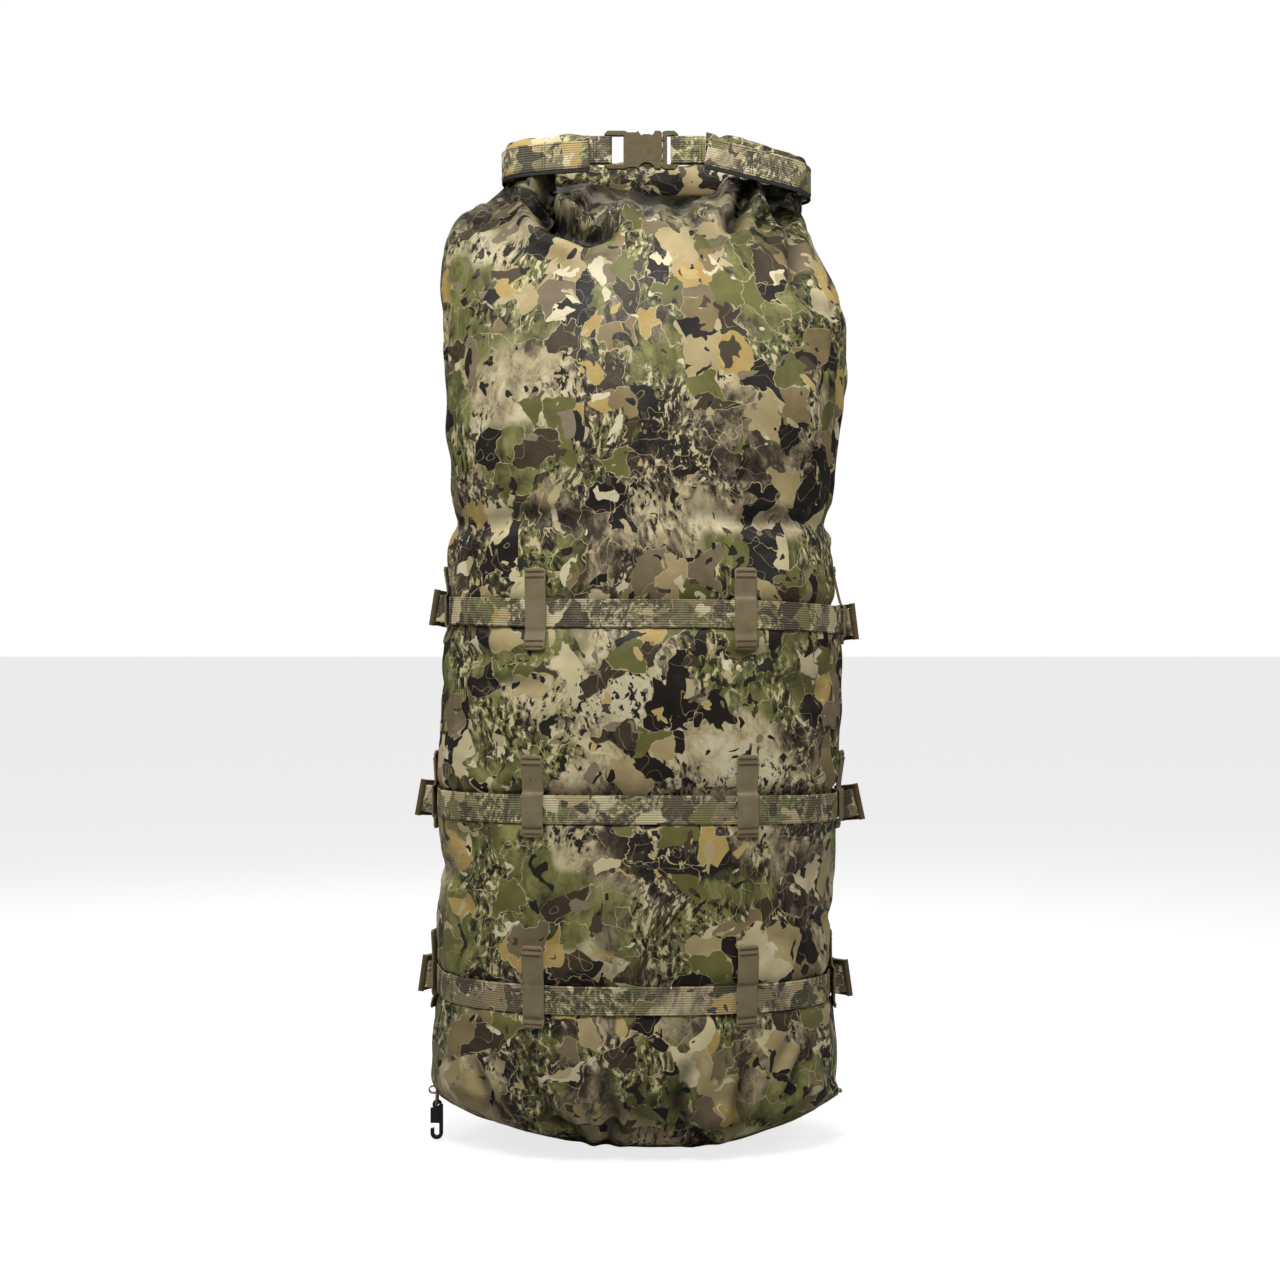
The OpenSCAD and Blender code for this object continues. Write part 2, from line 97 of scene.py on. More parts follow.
def curve_through(points, step):
    """A smooth line through the points, resampled evenly at about the given step."""
    p = np.asarray(points, float)
    p = np.vstack([2 * p[0] - p[1], p, 2 * p[-1] - p[-2]])
    fine = []
    for a, b, c, d in zip(p[:-3], p[1:-2], p[2:-1], p[3:]):
        t = np.linspace(0, 1, 24, endpoint=False)[:, None]
        fine.append(0.5 * (2 * b + (c - a) * t + (2 * a - 5 * b + 4 * c - d) * t ** 2
                           + (3 * b - a - 3 * c + d) * t ** 3))
    fine = np.vstack(fine + [p[-2]])
    return resample(fine, max(3, int(round(length_of(fine) / step)) + 1))


def length_of(path):
    return float(np.linalg.norm(np.diff(path, axis=0), axis=1).sum())


def lengths_along(path):
    return np.concatenate([[0], np.cumsum(np.linalg.norm(np.diff(path, axis=0), axis=1))])


def resample(path, count):
    s = lengths_along(path)
    at = np.linspace(0, s[-1], count)
    return np.stack([np.interp(at, s, path[:, k]) for k in range(path.shape[1])], 1)


def tangents(path):
    return unit(np.gradient(path, axis=0))


def point_at(path, s, at):
    """The value of path at the length at, where s holds the lengths along it."""
    return np.array([np.interp(at, s, path[:, k]) for k in range(3)])


def outwards(ways, away):
    """The directions as they are, or all turned round if the middle one looks against away."""
    return -ways if ways[len(ways) // 2] @ np.asarray(away, float) < 0 else ways


def level_sides(path):
    """The level direction to one side of each point of the path."""
    t = tangents(path)
    return unit(np.stack([-t[:, 1], t[:, 0], np.zeros(len(t))], 1))


# ---- Meshes ----

def finish_mesh(name, verts, faces, loop_uv, body, material):
    """Adds a mesh with a UV layer in metres; loop_uv holds one pair for each face corner."""
    mesh = bpy.data.meshes.new(name)
    mesh.from_pydata(np.asarray(verts, float).tolist(), [], faces)
    mesh.uv_layers.new(name="flat")
    mesh.uv_layers["flat"].data.foreach_set("uv", np.asarray(loop_uv, np.float32).ravel())
    work = bmesh.new()
    work.from_mesh(mesh)
    bmesh.ops.recalc_face_normals(work, faces=work.faces)
    work.to_mesh(mesh)
    work.free()
    mesh.polygons.foreach_set("use_smooth", [True] * len(mesh.polygons))
    mesh.materials.append(material)
    piece = placed(name, mesh)
    if body:
        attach(piece, body)
    return piece


def loft_data(rings, us, vs, start=0):
    """Faces and corner UVs of a closed, capped profile lofted through rings (rows, points, 3)."""
    n, m = rings.shape[:2]
    faces, uv = [], []
    for i in range(n - 1):
        for j in range(m):
            k = (j + 1) % m
            faces.append([start + i * m + j, start + (i + 1) * m + j,
                          start + (i + 1) * m + k, start + i * m + k])
            uv += [(us[i], vs[j]), (us[i + 1], vs[j]), (us[i + 1], vs[j + 1]), (us[i], vs[j + 1])]
    faces.append([start + j for j in range(m)])
    uv += [(us[0], vs[j]) for j in range(m)]
    faces.append([start + (n - 1) * m + j for j in reversed(range(m))])
    uv += [(us[-1], vs[j]) for j in reversed(range(m))]
    return faces, uv


def loft(name, rings, us, vs, body, material):
    rings = np.asarray(rings, float)
    faces, uv = loft_data(rings, us, vs)
    return finish_mesh(name, rings.reshape(-1, 3), faces, uv, body, material)


def ribbon_profile(width, thick, ribs=0):
    """A strip's cross-section as (across, up) points, ribbed on its upper face."""
    rib_depth, edge_r = 0.00012, 0.0009
    half, h = width / 2, thick / 2
    r = min(h * 0.95, edge_r)
    steps = max(ribs * 2, 8)
    points = []

    def edge(x, y, first, last):
        for a in np.radians(np.linspace(first, last, 3)):
            points.append((x + r * math.cos(a), y + r * math.sin(a)))

    edge(-half + r, h - r, 180, 90)
    for w in np.linspace(-half + r, half - r, steps + 1)[1:-1]:
        k = (w + half) / width * ribs * 2 * math.pi
        points.append((w, h - (rib_depth * (0.5 + 0.5 * math.cos(k)) if ribs else 0)))
    edge(half - r, h - r, 90, 0)
    edge(half - r, -h + r, 0, -90)
    for w in np.linspace(half - r, -half + r, 8)[1:-1]:
        points.append((w, -h))
    edge(-half + r, -h + r, -90, -180)
    return np.array(points)


def strip(name, path, across, width, thick, body, material, ribs=0, side=1, u0=0.0, v0=0.0,
          taper=1.0):
    """A strip along a path. across is its width direction; side says which way its face looks."""
    path = np.asarray(path, float)
    t = tangents(path)
    w = unit(np.broadcast_to(np.asarray(across, float), path.shape))
    w = unit(w - (w * t).sum(1, keepdims=True) * t)
    up = unit(np.cross(t, w)) * side
    profile = ribbon_profile(width, thick, ribs)
    scale = np.broadcast_to(taper, len(path))[:, None, None]
    rings = (path[:, None] + w[:, None] * profile[None, :, 0:1] * scale
             + up[:, None] * profile[None, :, 1:2])
    around = np.vstack([profile, profile[:1]])
    vs = v0 + lengths_along(around)
    return loft(name, rings, u0 + lengths_along(path), vs, body, material)


def joined(name, parts, body, material):
    """One piece made from several closed lofts, each (rings, us, vs)."""
    verts, faces, uv, start = [], [], [], 0
    for rings, us, vs in parts:
        f, u = loft_data(rings, us, vs, start)
        verts.append(rings.reshape(-1, 3))
        faces += f
        uv += u
        start += rings.shape[0] * rings.shape[1]
    return finish_mesh(name, np.vstack(verts), faces, uv, body, material)


def stitch_rings(a, b, up, radius):
    """One stitch: a short bead from a to b that bows up."""
    t = unit(b - a)
    s = unit(np.cross(t, up))
    n = np.cross(s, t)
    rings = []
    for k, r in ((0, 0.35), (0.12, 0.8), (0.5, 1.0), (0.88, 0.8), (1, 0.35)):
        bow = radius * 0.55 * math.sin(math.pi * k)
        centre = a + (b - a) * k + n * bow
        rings.append([centre + radius * r * (math.cos(x) * s + math.sin(x) * n)
                      for x in np.linspace(0, 2 * math.pi, 6, endpoint=False)])
    return np.array(rings), np.linspace(0, 0.003, 5), np.linspace(0, 0.002, 7)


def stitch_line(path, up, pitch=0.0026, fill=0.72, radius=0.00036):
    """Stitches along a path; up is one vector or one for each point."""
    path = np.asarray(path, float)
    ups = np.broadcast_to(np.asarray(up, float), path.shape)
    s = lengths_along(path)
    made = []
    for k in range(max(1, int(s[-1] / pitch))):
        at = [k * pitch, (k + fill) * pitch]
        if at[1] > s[-1]:
            break
        a, b = (point_at(path, s, x) for x in at)
        made.append(stitch_rings(a, b, unit(point_at(ups, s, at[0])), radius))
    return made


# ---- Materials ----

def srgb(r, g, b):
    """A colour given as 0 to 255 steps, in linear light."""
    linear = [((c / 255 + 0.055) / 1.055) ** 2.4 if c > 10 else c / 3294 for c in (r, g, b)]
    return (*linear, 1)


class Shader:
    """Short names for the shader nodes that the materials and the world use."""

    def __init__(self, owner):
        self.owner = owner
        owner.use_nodes = True
        self.tree = owner.node_tree

    def set(self, socket, value):
        """Links the socket to another one, or gives it a plain value."""
        if isinstance(value, bpy.types.NodeSocket):
            self.tree.links.new(value, socket)
        else:
            socket.default_value = value

    def put(self, kind, inputs=(), **settings):
        node = self.tree.nodes.new("ShaderNode" + kind)
        for key, value in settings.items():
            setattr(node, key, value)
        for key, value in dict(inputs).items():
            self.set(node.inputs[key], value)
        return node

    def uv(self):
        return self.put("UVMap", uv_map="flat").outputs[0]

    def noise(self, at, scale, detail=2.0, rough=0.5, out="Fac"):
        inputs = {"Vector": at, "Scale": scale, "Detail": detail, "Roughness": rough}
        return self.put("TexNoise", inputs).outputs[out]

    def cells(self, at, scale, feature="F1", out="Color"):
        node = self.put("TexVoronoi", {"Vector": at, "Scale": scale}, feature=feature,
                        voronoi_dimensions="2D")
        return node.outputs[out]

    def math(self, op, a, b=0.0, c=0.0):
        return self.put("Math", {0: a, 1: b, 2: c}, operation=op).outputs[0]

    def times(self, a, b):
        return self.math("MULTIPLY", a, b)

    def vec(self, op, a, b=(0, 0, 0)):
        return self.put("VectorMath", {0: a, 1: b}, operation=op).outputs[0]

    def mapped(self, at, move=(0, 0, 0), turn=0.0, scale=(1, 1, 1)):
        inputs = {"Vector": at, "Location": move, "Rotation": (0, 0, turn), "Scale": scale}
        return self.put("Mapping", inputs).outputs[0]

    def warped(self, at, scale, amount, move=(0, 0, 0)):
        """The place moved about by noise of the given scale, by up to about half the amount."""
        n = self.vec("SUBTRACT", self.noise(self.mapped(at, move), scale, out="Color"), (0.5, 0.5, 0.5))
        shift = self.put("VectorMath", {0: n, "Scale": amount}, operation="SCALE").outputs[0]
        return self.vec("ADD", at, shift)

    def ramp(self, fac, stops, how="LINEAR"):
        node = self.put("ValToRGB", {0: fac})
        band = node.color_ramp
        band.interpolation = how
        while len(band.elements) < len(stops):
            band.elements.new(0.5)
        for element, (at, colour) in zip(band.elements, stops):
            element.position = at
            element.color = colour
        return node.outputs[0]

    def step(self, x, low, high):
        return self.put("MapRange", {0: x, 1: low, 2: high}).outputs[0]

    def mix(self, fac, a, b, how="MIX"):
        inputs = {0: fac, 6: a, 7: b}
        return self.put("Mix", inputs, data_type="RGBA", blend_type=how).outputs[2]

    def bump(self, height, strength, distance, under=None):
        inputs = {"Height": height, "Strength": strength, "Distance": distance}
        if under is not None:
            inputs["Normal"] = under
        return self.put("Bump", inputs).outputs[0]

    def done(self, colour=None, roughness=None, normal=None, **plain):
        for key, value in (("Base Color", colour), ("Roughness", roughness), ("Normal", normal),
                           *plain.items()):
            if value is not None:
                self.set(self.tree.nodes["Principled BSDF"].inputs[key.replace("_", " ")], value)
        return self.owner


def new_material(name):
    return Shader(bpy.data.materials.new(name))


DARK = srgb(33, 28, 23)
BROWN = srgb(74, 64, 48)
TAUPE = srgb(134, 121, 97)
TAN = srgb(184, 168, 128)
CREAM = srgb(214, 203, 168)
GOLD = srgb(190, 166, 106)
OLIVE = srgb(116, 116, 66)
MOSS = srgb(88, 88, 48)
PATCHES = 37                 # hard-edged patches to a metre of cloth


def camo(s, at, turn=0.6):
    """Woodland print: bark-like speckle with moss patches under hard-edged, outlined shapes."""
    wide = s.warped(at, 9, 0.060)
    near = s.warped(wide, 48, 0.012, (3, 1, 0))
    streaky = s.mapped(near, (0, 0, 0), turn, (1.0, 0.55, 1.0))
    macro = s.noise(s.mapped(wide, (5.2, 1.7, 0)), 7.5)
    grain = s.noise(streaky, 70, 7, 0.72)
    tone = s.math("ADD", s.times(macro, 1.9), s.times(grain, 1.25))
    bark = s.ramp(s.math("SUBTRACT", tone, 1.12), [
        (0.18, DARK), (0.36, BROWN), (0.50, TAUPE), (0.64, TAN), (0.82, CREAM)])
    # moss patches with soft edges
    where = s.noise(s.mapped(wide, (1.3, 8.1, 0)), 6.5, 3)
    clump = s.noise(s.mapped(near, (2, 2, 0)), 26, 4, 0.6)
    leaf = s.ramp(s.math("ADD", s.times(grain, 0.55), s.times(clump, 0.45)), [
        (0.36, srgb(40, 40, 26)), (0.45, MOSS), (0.53, OLIVE), (0.64, srgb(150, 148, 88))])
    ground = s.mix(s.step(s.math("MULTIPLY_ADD", grain, 0.10, where), 0.545, 0.585), bark, leaf)
    # dark and light flecks in places
    fleck = s.noise(streaky, 190, 3, 0.62)
    bits = s.step(s.noise(s.mapped(wide, (9.4, 2.2, 0)), 12, 3), 0.47, 0.52)
    ground = s.mix(s.times(s.step(fleck, 0.47, 0.43), bits), ground, srgb(36, 32, 28))
    ground = s.mix(s.times(s.step(fleck, 0.56, 0.60), bits), ground, srgb(205, 192, 150))
    # flat shapes, with a thin light outline
    loose = s.warped(s.warped(at, 28, 0.052, (7, 3, 0)), 85, 0.013)
    picks = s.put("SeparateColor", {0: s.cells(loose, PATCHES)}).outputs
    shape = s.ramp(picks[1], [(0.0, CREAM), (0.11, TAN), (0.22, GOLD), (0.31, TAUPE), (0.41, OLIVE),
                              (0.56, BROWN), (0.70, DARK), (0.91, srgb(146, 130, 95))], "CONSTANT")
    shape = s.mix(0.6, shape, s.ramp(clump, [(0.3, srgb(90, 84, 70)), (0.7, srgb(190, 184, 164))]),
                  "SOFT_LIGHT")
    crowd = s.noise(s.mapped(wide, (2.9, 6.3, 0)), 8)
    present = s.math("GREATER_THAN", s.math("ADD", picks[0], s.times(crowd, 3.0)), 2.12)
    ground = s.mix(present, ground, shape)
    line = s.math("LESS_THAN", s.cells(loose, PATCHES, "DISTANCE_TO_EDGE", "Distance"), 0.014)
    lined = s.times(line, s.step(s.noise(s.mapped(at, (4, 4, 0)), 16), 0.42, 0.46))
    ground = s.mix(s.times(lined, 0.85), ground, srgb(196, 180, 140))
    # smaller shapes on top
    small = s.noise(s.mapped(loose, (6.1, 2.4, 0)), 48, 1, 0.4)
    light = s.ramp(macro, [(0.0, TAN), (0.40, CREAM), (0.47, TAN), (0.53, DARK), (0.6, TAUPE)], "CONSTANT")
    ground = s.mix(s.math("GREATER_THAN", small, 0.66), ground, light)
    dark = s.ramp(where, [(0.0, DARK), (0.44, GOLD), (0.47, BROWN), (0.54, DARK)], "CONSTANT")
    ground = s.mix(s.math("LESS_THAN", small, 0.33), ground, dark)
    # thin contour lines over the dark parts
    contour = s.math("PINGPONG", s.noise(s.mapped(at, (8.8, 5.5, 0)), 22), 0.07)
    flat_dark = s.times(present, s.math("COMPARE", picks[1], 0.735, 0.175))
    bare = s.times(s.step(macro, 0.53, 0.47), s.math("SUBTRACT", 1.0, present))
    thin = s.times(s.math("LESS_THAN", contour, 0.0028), s.math("MAXIMUM", flat_dark, bare))
    return s.mix(s.times(thin, 0.65), ground, srgb(160, 144, 102))


NECK_V = 0.975               # the flat height of the sack's print where the neck begins


def make_fabric():
    s = new_material("camo_fabric")
    at = s.uv()
    colour = camo(s, at)
    # painted shade under the roll: the cloth darkens towards the neck, with a noisy edge
    up = s.put("SeparateXYZ", {0: at}).outputs[1]
    shade_edge_noise = s.noise(s.mapped(at, (6, 2, 0)), 11, 3)
    near = s.step(s.math("MULTIPLY_ADD", shade_edge_noise, 0.10, up), NECK_V, NECK_V + 0.07)
    colour = s.mix(s.times(near, 0.72), colour, srgb(48, 41, 30), "MULTIPLY")
    # painted shade: darker where the cloth lies deep in a fold
    fold_shade = s.put("Attribute", attribute_name="fold_shade").outputs["Fac"]
    colour = s.mix(s.times(fold_shade, 0.85), colour, srgb(34, 29, 22), "MULTIPLY")
    yarns = [s.put("TexWave", {"Vector": at, "Scale": 420.0}, bands_direction=way).outputs["Fac"]
             for way in "XY"]
    weave = s.math("ADD", *yarns)
    crumple = s.noise(s.warped(at, 26, 0.02), 60, 4, 0.55)
    normal = s.bump(weave, 0.12, 0.0002, s.bump(crumple, 0.35, 0.0035))
    rough = s.math("MULTIPLY_ADD", s.step(crumple, 0.2, 0.9), 0.16, 0.46)
    return s.done(colour, rough, normal, Specular_IOR_Level=0.28)


def make_webbing():
    s = new_material("camo_webbing")
    at = s.uv()
    colour = camo(s, s.mapped(at, (3.37, 1.9, 0), 0, (1.4, 1.4, 1.0)), 0.2)
    inputs = {"Vector": at, "Scale": 290.0, "Distortion": 1.5, "Detail": 1.0}
    yarn = s.put("TexWave", inputs).outputs["Fac"]
    rib = s.put("TexWave", {"Vector": at, "Scale": 151.0}, bands_direction="Y").outputs["Fac"]
    # paler where the yarn and the ribs run high, and a little paler all over
    pale_on_raised_yarn = s.math("MULTIPLY_ADD", s.times(yarn, rib), 0.22, 0.06)
    colour = s.mix(pale_on_raised_yarn, colour, srgb(214, 204, 170))
    # painted shade: darker in the grooves between the ribs
    colour = s.mix(s.times(s.step(rib, 0.3, 0.0), 0.12), colour, srgb(40, 36, 30))
    normal = s.bump(yarn, 0.35, 0.0004, s.bump(rib, 0.5, 0.0006))
    return s.done(colour, 0.72, normal, Specular_IOR_Level=0.3)


def make_plain(name, low, high, roughness, scale, bump, distance, **more):
    """A moulded or coated material with mottled colour and grain from noise."""
    s = new_material(name)
    at = s.put("TexCoord").outputs["Object"]
    mottle = s.noise(at, scale, 5, 0.6)
    colour = s.mix(s.step(mottle, 0.3, 0.7), low, high)
    normal = s.bump(s.noise(at, scale * 9, 3, 0.6), bump, distance)
    rough = s.math("MULTIPLY_ADD", mottle, 0.2, roughness - 0.1)
    return s.done(colour, rough, normal, **more)


FABRIC = make_fabric()
WEBBING = make_webbing()
HYPALON = make_plain("keeper_rubber", srgb(120, 108, 80), srgb(138, 125, 95), 0.62, 90, 0.25, 0.0003,
                     Specular_IOR_Level=0.35)
COYOTE = make_plain("coyote_plastic", srgb(86, 71, 44), srgb(101, 86, 57), 0.42, 160, 0.15, 0.0002)
BLACK = make_plain("black_plastic", srgb(12, 12, 11), srgb(22, 22, 20), 0.4, 120, 0.2, 0.0002)
BINDING = make_plain("black_binding", srgb(14, 17, 14), srgb(30, 34, 28), 0.75, 400, 0.5, 0.0003)
CORD = make_plain("coyote_cord", srgb(122, 92, 56), srgb(156, 122, 78), 0.7, 900, 0.6, 0.0004)
THREAD = make_plain("brown_thread", srgb(84, 60, 34), srgb(108, 82, 52), 0.6, 800, 0.3, 0.0002)
DARK_THREAD = make_plain("dark_thread", srgb(34, 33, 26), srgb(54, 52, 40), 0.65, 800, 0.3, 0.0002)

CORNER_X = -0.1855
CORNER_Y = -0.034
EARS = ((-0.1842, 0.0468), (0.1815, 0.046))      # x and height of the corner ears' tips
CORD_R = 0.0012
# offset from CORNER_Y, and height, in millimetres, as in the CAD route
CORD_ROUTE = [
    (0.4, 33.4), (2.6, 33.9), (4.7, 35.4), (6.2, 37.6), (6.7, 40.1), (6.2, 42.6), (4.7, 44.8),
    (2.6, 46.3), (0, 46.8), (-2.6, 46.3), (-4.7, 44.8), (-6.2, 42.6), (-6.7, 40.1),
    (-6.2, 37.6), (-4.7, 35.4), (-2.6, 33.9), (-0.4, 33.4)]
route = np.array([(CORNER_X, CORNER_Y + y * MM, z * MM) for y, z in CORD_ROUTE])


def make_cord():
    line = curve_through(route, 0.0011)
    side = np.array([1.0, 0, 0])
    other = unit(np.cross(tangents(line), side))[:, None]
    a = np.linspace(0, 2 * math.pi, 12, endpoint=False)[:, None]
    braid = 1 + 0.05 * np.cos(4 * a + 2.2 * np.arange(len(line))[:, None, None])
    rings = line[:, None] + CORD_R * 0.97 * braid * (np.cos(a) * side + np.sin(a) * other)
    return loft("hook_cord", rings, lengths_along(line), np.linspace(0, 0.0075, 13),
                "cord_ring", CORD), line


cord, cord_line = make_cord()
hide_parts("corner_cord")

# ---- The sack: a grid laid on the CAD shell, then puffed as cloth ----

COLS = 288
ROW_STEP = 0.0040
FAR_OUT = 0.6                # a ray starts this far from the middle, outside the sack
FLOOR_GAP = 0.0002
STRAP_Z = np.array([0.145, 0.311, 0.481])
SEAM_LEFT = [-0.184, -0.181, -0.172]
SEAM_RIGHT = [0.172, 0.178, 0.178]
ANGLES = np.arange(COLS) * 2 * math.pi / COLS
FRONT_COLUMN = COLS * 3 // 4

# Where the fabric runs up into the roll: angle round the sack, then x, y and height in millimetres.
MOUTH = [
    (0, 146, -25, 867), (20, 142, -10, 868), (45, 118, -3, 869), (90, 10, 2, 872), (135, -90, -4, 878),
    (160, -112, -13, 881), (180, -118, -26, 882), (200, -113, -38, 882), (218, -100, -44, 885),
    (234, -84, -46, 887), (244, -72, -44, 887), (251, -64, -28, 880), (258, -48, -15, 874),
    (270, 10, -11, 872), (283, 62, -12, 870), (289, 76, -24, 872), (294, 84, -42, 880),
    (305, 99, -46, 880), (320, 120, -45, 874), (340, 140, -38, 869), (360, 146, -25, 867)]


def cad_surface():
    verts, polys = [], []
    for node in ("front_panel", "back_panel"):
        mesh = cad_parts[node].data
        start = len(verts)
        verts += [v.co.copy() for v in mesh.vertices]
        polys += [[start + i for i in p.vertices] for p in mesh.polygons]
    return BVHTree.FromPolygons(verts, polys)


def blur_rows(a, times, wrap):
    """Softens a grid (rows, cols, 3) along rows or round the columns."""
    for _ in range(times):
        if wrap:
            a = (a + 0.5 * (np.roll(a, 1, 1) + np.roll(a, -1, 1))) / 2
        else:
            b = a.copy()
            b[1:-1] = (a[1:-1] + 0.5 * (a[2:] + a[:-2])) / 2
            a = b
    return a


def ray_in(tree, angle, z, dip=0.0):
    """Where a ray from outside meets the surface on its way to the middle at height z."""
    d = Vector((math.cos(angle) * math.cos(dip), math.sin(angle) * math.cos(dip), -math.sin(dip)))
    return np.array(tree.ray_cast(Vector((0, 0, z)) + d * FAR_OUT, -d)[0])


def sack_grid():
    """Rows of points from the middle of the base up to the mouth."""
    tree = cad_surface()
    base = [(0.07, dip) for dip in np.linspace(math.radians(84), math.radians(6), 30)]
    walls = [(z, 0.0) for z in np.arange(0.058, 0.832, ROW_STEP)]
    body = np.array([[ray_in(tree, a, z, dip) for a in ANGLES] for z, dip in base + walls])
    body = blur_rows(blur_rows(body, 14, True), 3, False)
    table = np.array(MOUTH, float)
    turn = np.degrees(ANGLES)
    top = np.stack([np.interp(turn, table[:, 0], table[:, k]) for k in (1, 2, 3)], 1) * MM
    for _ in range(3):
        top = (top + 0.5 * (np.roll(top, 1, 0) + np.roll(top, -1, 0))) / 2
    # the neck is a Hermite curve from the walls' last row to the mouth
    last = body[-1]
    reach = np.linalg.norm(top - last, axis=1)[:, None]
    leave = unit(last - body[-6]) * reach
    arrive = unit(unit(top - last) + UP) * reach
    neck = []
    for t in np.linspace(0, 1, 30)[1:]:
        neck.append((2 * t ** 3 - 3 * t ** 2 + 1) * last + (t ** 3 - 2 * t ** 2 + t) * leave
                    + (-2 * t ** 3 + 3 * t ** 2) * top + (t ** 3 - t ** 2) * arrive)
    return np.concatenate([body, np.array(neck)])


def grid_normals(g):
    du = np.roll(g, -1, 1) - np.roll(g, 1, 1)
    dv = np.gradient(g, axis=0)
    return unit(np.cross(du, dv))


def grid_faces(rows, cols):
    i, j = np.meshgrid(np.arange(rows - 1), np.arange(cols), indexing="ij")
    k = (j + 1) % cols
    return np.stack([i * cols + j, i * cols + k, (i + 1) * cols + k, (i + 1) * cols + j], -1).reshape(-1, 4)


grid = sack_grid()


def value_noise(x, y, seed):
    """Smooth noise from -1 to 1 at (x, y), where 1 is the size of a feature."""
    r = np.random.default_rng(seed)
    table = r.uniform(-1, 1, (128, 128))
    xi, yi = np.floor(x).astype(int), np.floor(y).astype(int)
    fx, fy = x - xi, y - yi
    fx, fy = fx * fx * (3 - 2 * fx), fy * fy * (3 - 2 * fy)

    def at(i, j):
        return table[i % 128, j % 128]
    return ((at(xi, yi) * (1 - fx) + at(xi + 1, yi) * fx) * (1 - fy)
            + (at(xi, yi + 1) * (1 - fx) + at(xi + 1, yi + 1) * fx) * fy)


def round_noise(across, up, seed, per_turn):
    """Noise that closes on itself round the sack; per_turn is the number of features round it."""
    u = across * per_turn
    a = value_noise(u, up, seed)
    b = value_noise(u - per_turn, up, seed)
    w = smooth_step(0.9, 1.0, across)
    return a * (1 - w) + b * w


def cloth_puff(g):
    """The grid swollen by air pressure, held at the straps, the mouth and the base."""
    coarse = g[::2, ::2]
    rows, cols = coarse.shape[:2]
    mesh = bpy.data.meshes.new("cloth")
    mesh.from_pydata(coarse.reshape(-1, 3).tolist(), [], grid_faces(rows, cols).tolist())
    piece = placed("cloth", mesh)
    z = coarse[:, :, 2]
    hold = np.zeros(z.shape)
    for height in STRAP_Z:
        hold = np.maximum(hold, (np.abs(z - height) < 0.011) * 1.0)
    hold = np.maximum(hold, smooth_step(0.850, 0.872, z))
    hold = np.maximum(hold, smooth_step(0.03, 0.004, z)).ravel()
    group = piece.vertex_groups.new(name="held")
    for i in np.nonzero(hold > 0.01)[0]:
        group.add([int(i)], float(hold[i]), "REPLACE")
    cloth = piece.modifiers.new("Cloth", "CLOTH")
    s = cloth.settings
    s.quality = 5
    s.mass = 0.25
    s.tension_stiffness = 15
    s.compression_stiffness = 15
    s.shear_stiffness = 8
    s.bending_stiffness = 0.35
    s.vertex_group_mass = "held"
    s.use_pressure = True
    s.uniform_pressure_force = 4.0
    s.shrink_min = -0.035
    s.shrink_max = -0.035
    s.effector_weights.gravity = 0
    cloth.collision_settings.use_collision = False
    frames = 20
    cloth.point_cache.frame_start, cloth.point_cache.frame_end = 1, frames
    for frame_number in range(1, frames + 1):
        SCENE.frame_set(frame_number)
    seen = piece.evaluated_get(bpy.context.evaluated_depsgraph_get())
    out = np.zeros(len(mesh.vertices) * 3)
    seen.data.vertices.foreach_get("co", out)
    out = out.reshape(rows, cols, 3)
    SCENE.frame_set(1)
    bpy.data.objects.remove(piece)
    # no point moves by more than the cap
    moved = out - coarse
    size = np.linalg.norm(moved, axis=2, keepdims=True)
    cap = 0.009
    moved = moved / np.maximum(size, 1e-9) * cap * np.tanh(size / cap)
    # back onto the fine grid
    wide = np.zeros((rows, cols * 2, 3))
    wide[:, ::2] = moved
    wide[:, 1::2] = (moved + np.roll(moved, -1, 1)) / 2
    at = np.arange(len(g)) / 2
    low = np.minimum(np.floor(at).astype(int), rows - 1)
    high = np.minimum(low + 1, rows - 1)
    f = (at - low)[:, None, None]
    fine = wide[low] * (1 - f) + wide[high] * f
    return g + blur_rows(blur_rows(fine, 1, True), 1, False)


CORNER_RISE = 0.005          # how far the corners of the base stand up

# Creases on the front: points (x, height) in millimetres, depth and width in millimetres.
FOLDS = [
    ([(-60, 888), (-82, 870), (-87, 850), (-76, 832), (-50, 820), (-30, 822)], 22, 10),
    ([(-66, 878), (-62, 856), (-40, 840)], 10, 6),
    ([(92, 886), (96, 868), (90, 846), (80, 826)], 14, 7),
    ([(108, 884), (118, 862), (128, 838)], 10, 6),
    ([(122, 880), (138, 820), (142, 770), (172, 752)], 7, 6),
    ([(-104, 880), (-128, 856), (-150, 832)], 5, 6),
    ([(-20, 872), (-30, 840), (-52, 800)], 4, 7),
    ([(30, 872), (42, 838), (70, 800)], 4, 7),
    ([(60, 874), (80, 836), (108, 790)], 4, 6),
    ([(-172, 566), (-140, 560), (-96, 566), (-50, 560)], 3.5, 7),
    ([(170, 560), (140, 566), (100, 560), (52, 566)], 3.5, 7),
    ([(-165, 52), (-120, 38), (-60, 30), (0, 26), (60, 26), (110, 32), (160, 50)], 6.5, 4.5),
    ([(-100, 92), (-92, 62), (-70, 34), (-52, 14)], 8, 7),
    ([(-34, 76), (-26, 50), (-24, 30), (-30, 10)], 7, 7),
    ([(40, 84), (34, 54), (42, 30), (60, 12)], 8, 7),
    ([(98, 88), (88, 60), (84, 34)], 7, 7),
    ([(-150, 88), (-138, 62), (-128, 40)], 7, 6),
    ([(146, 92), (138, 66), (124, 44)], 7, 6),
    ([(-150, 110), (-120, 80), (-100, 50)], 3, 7),
    ([(140, 110), (118, 80), (110, 48)], 3, 7),
]


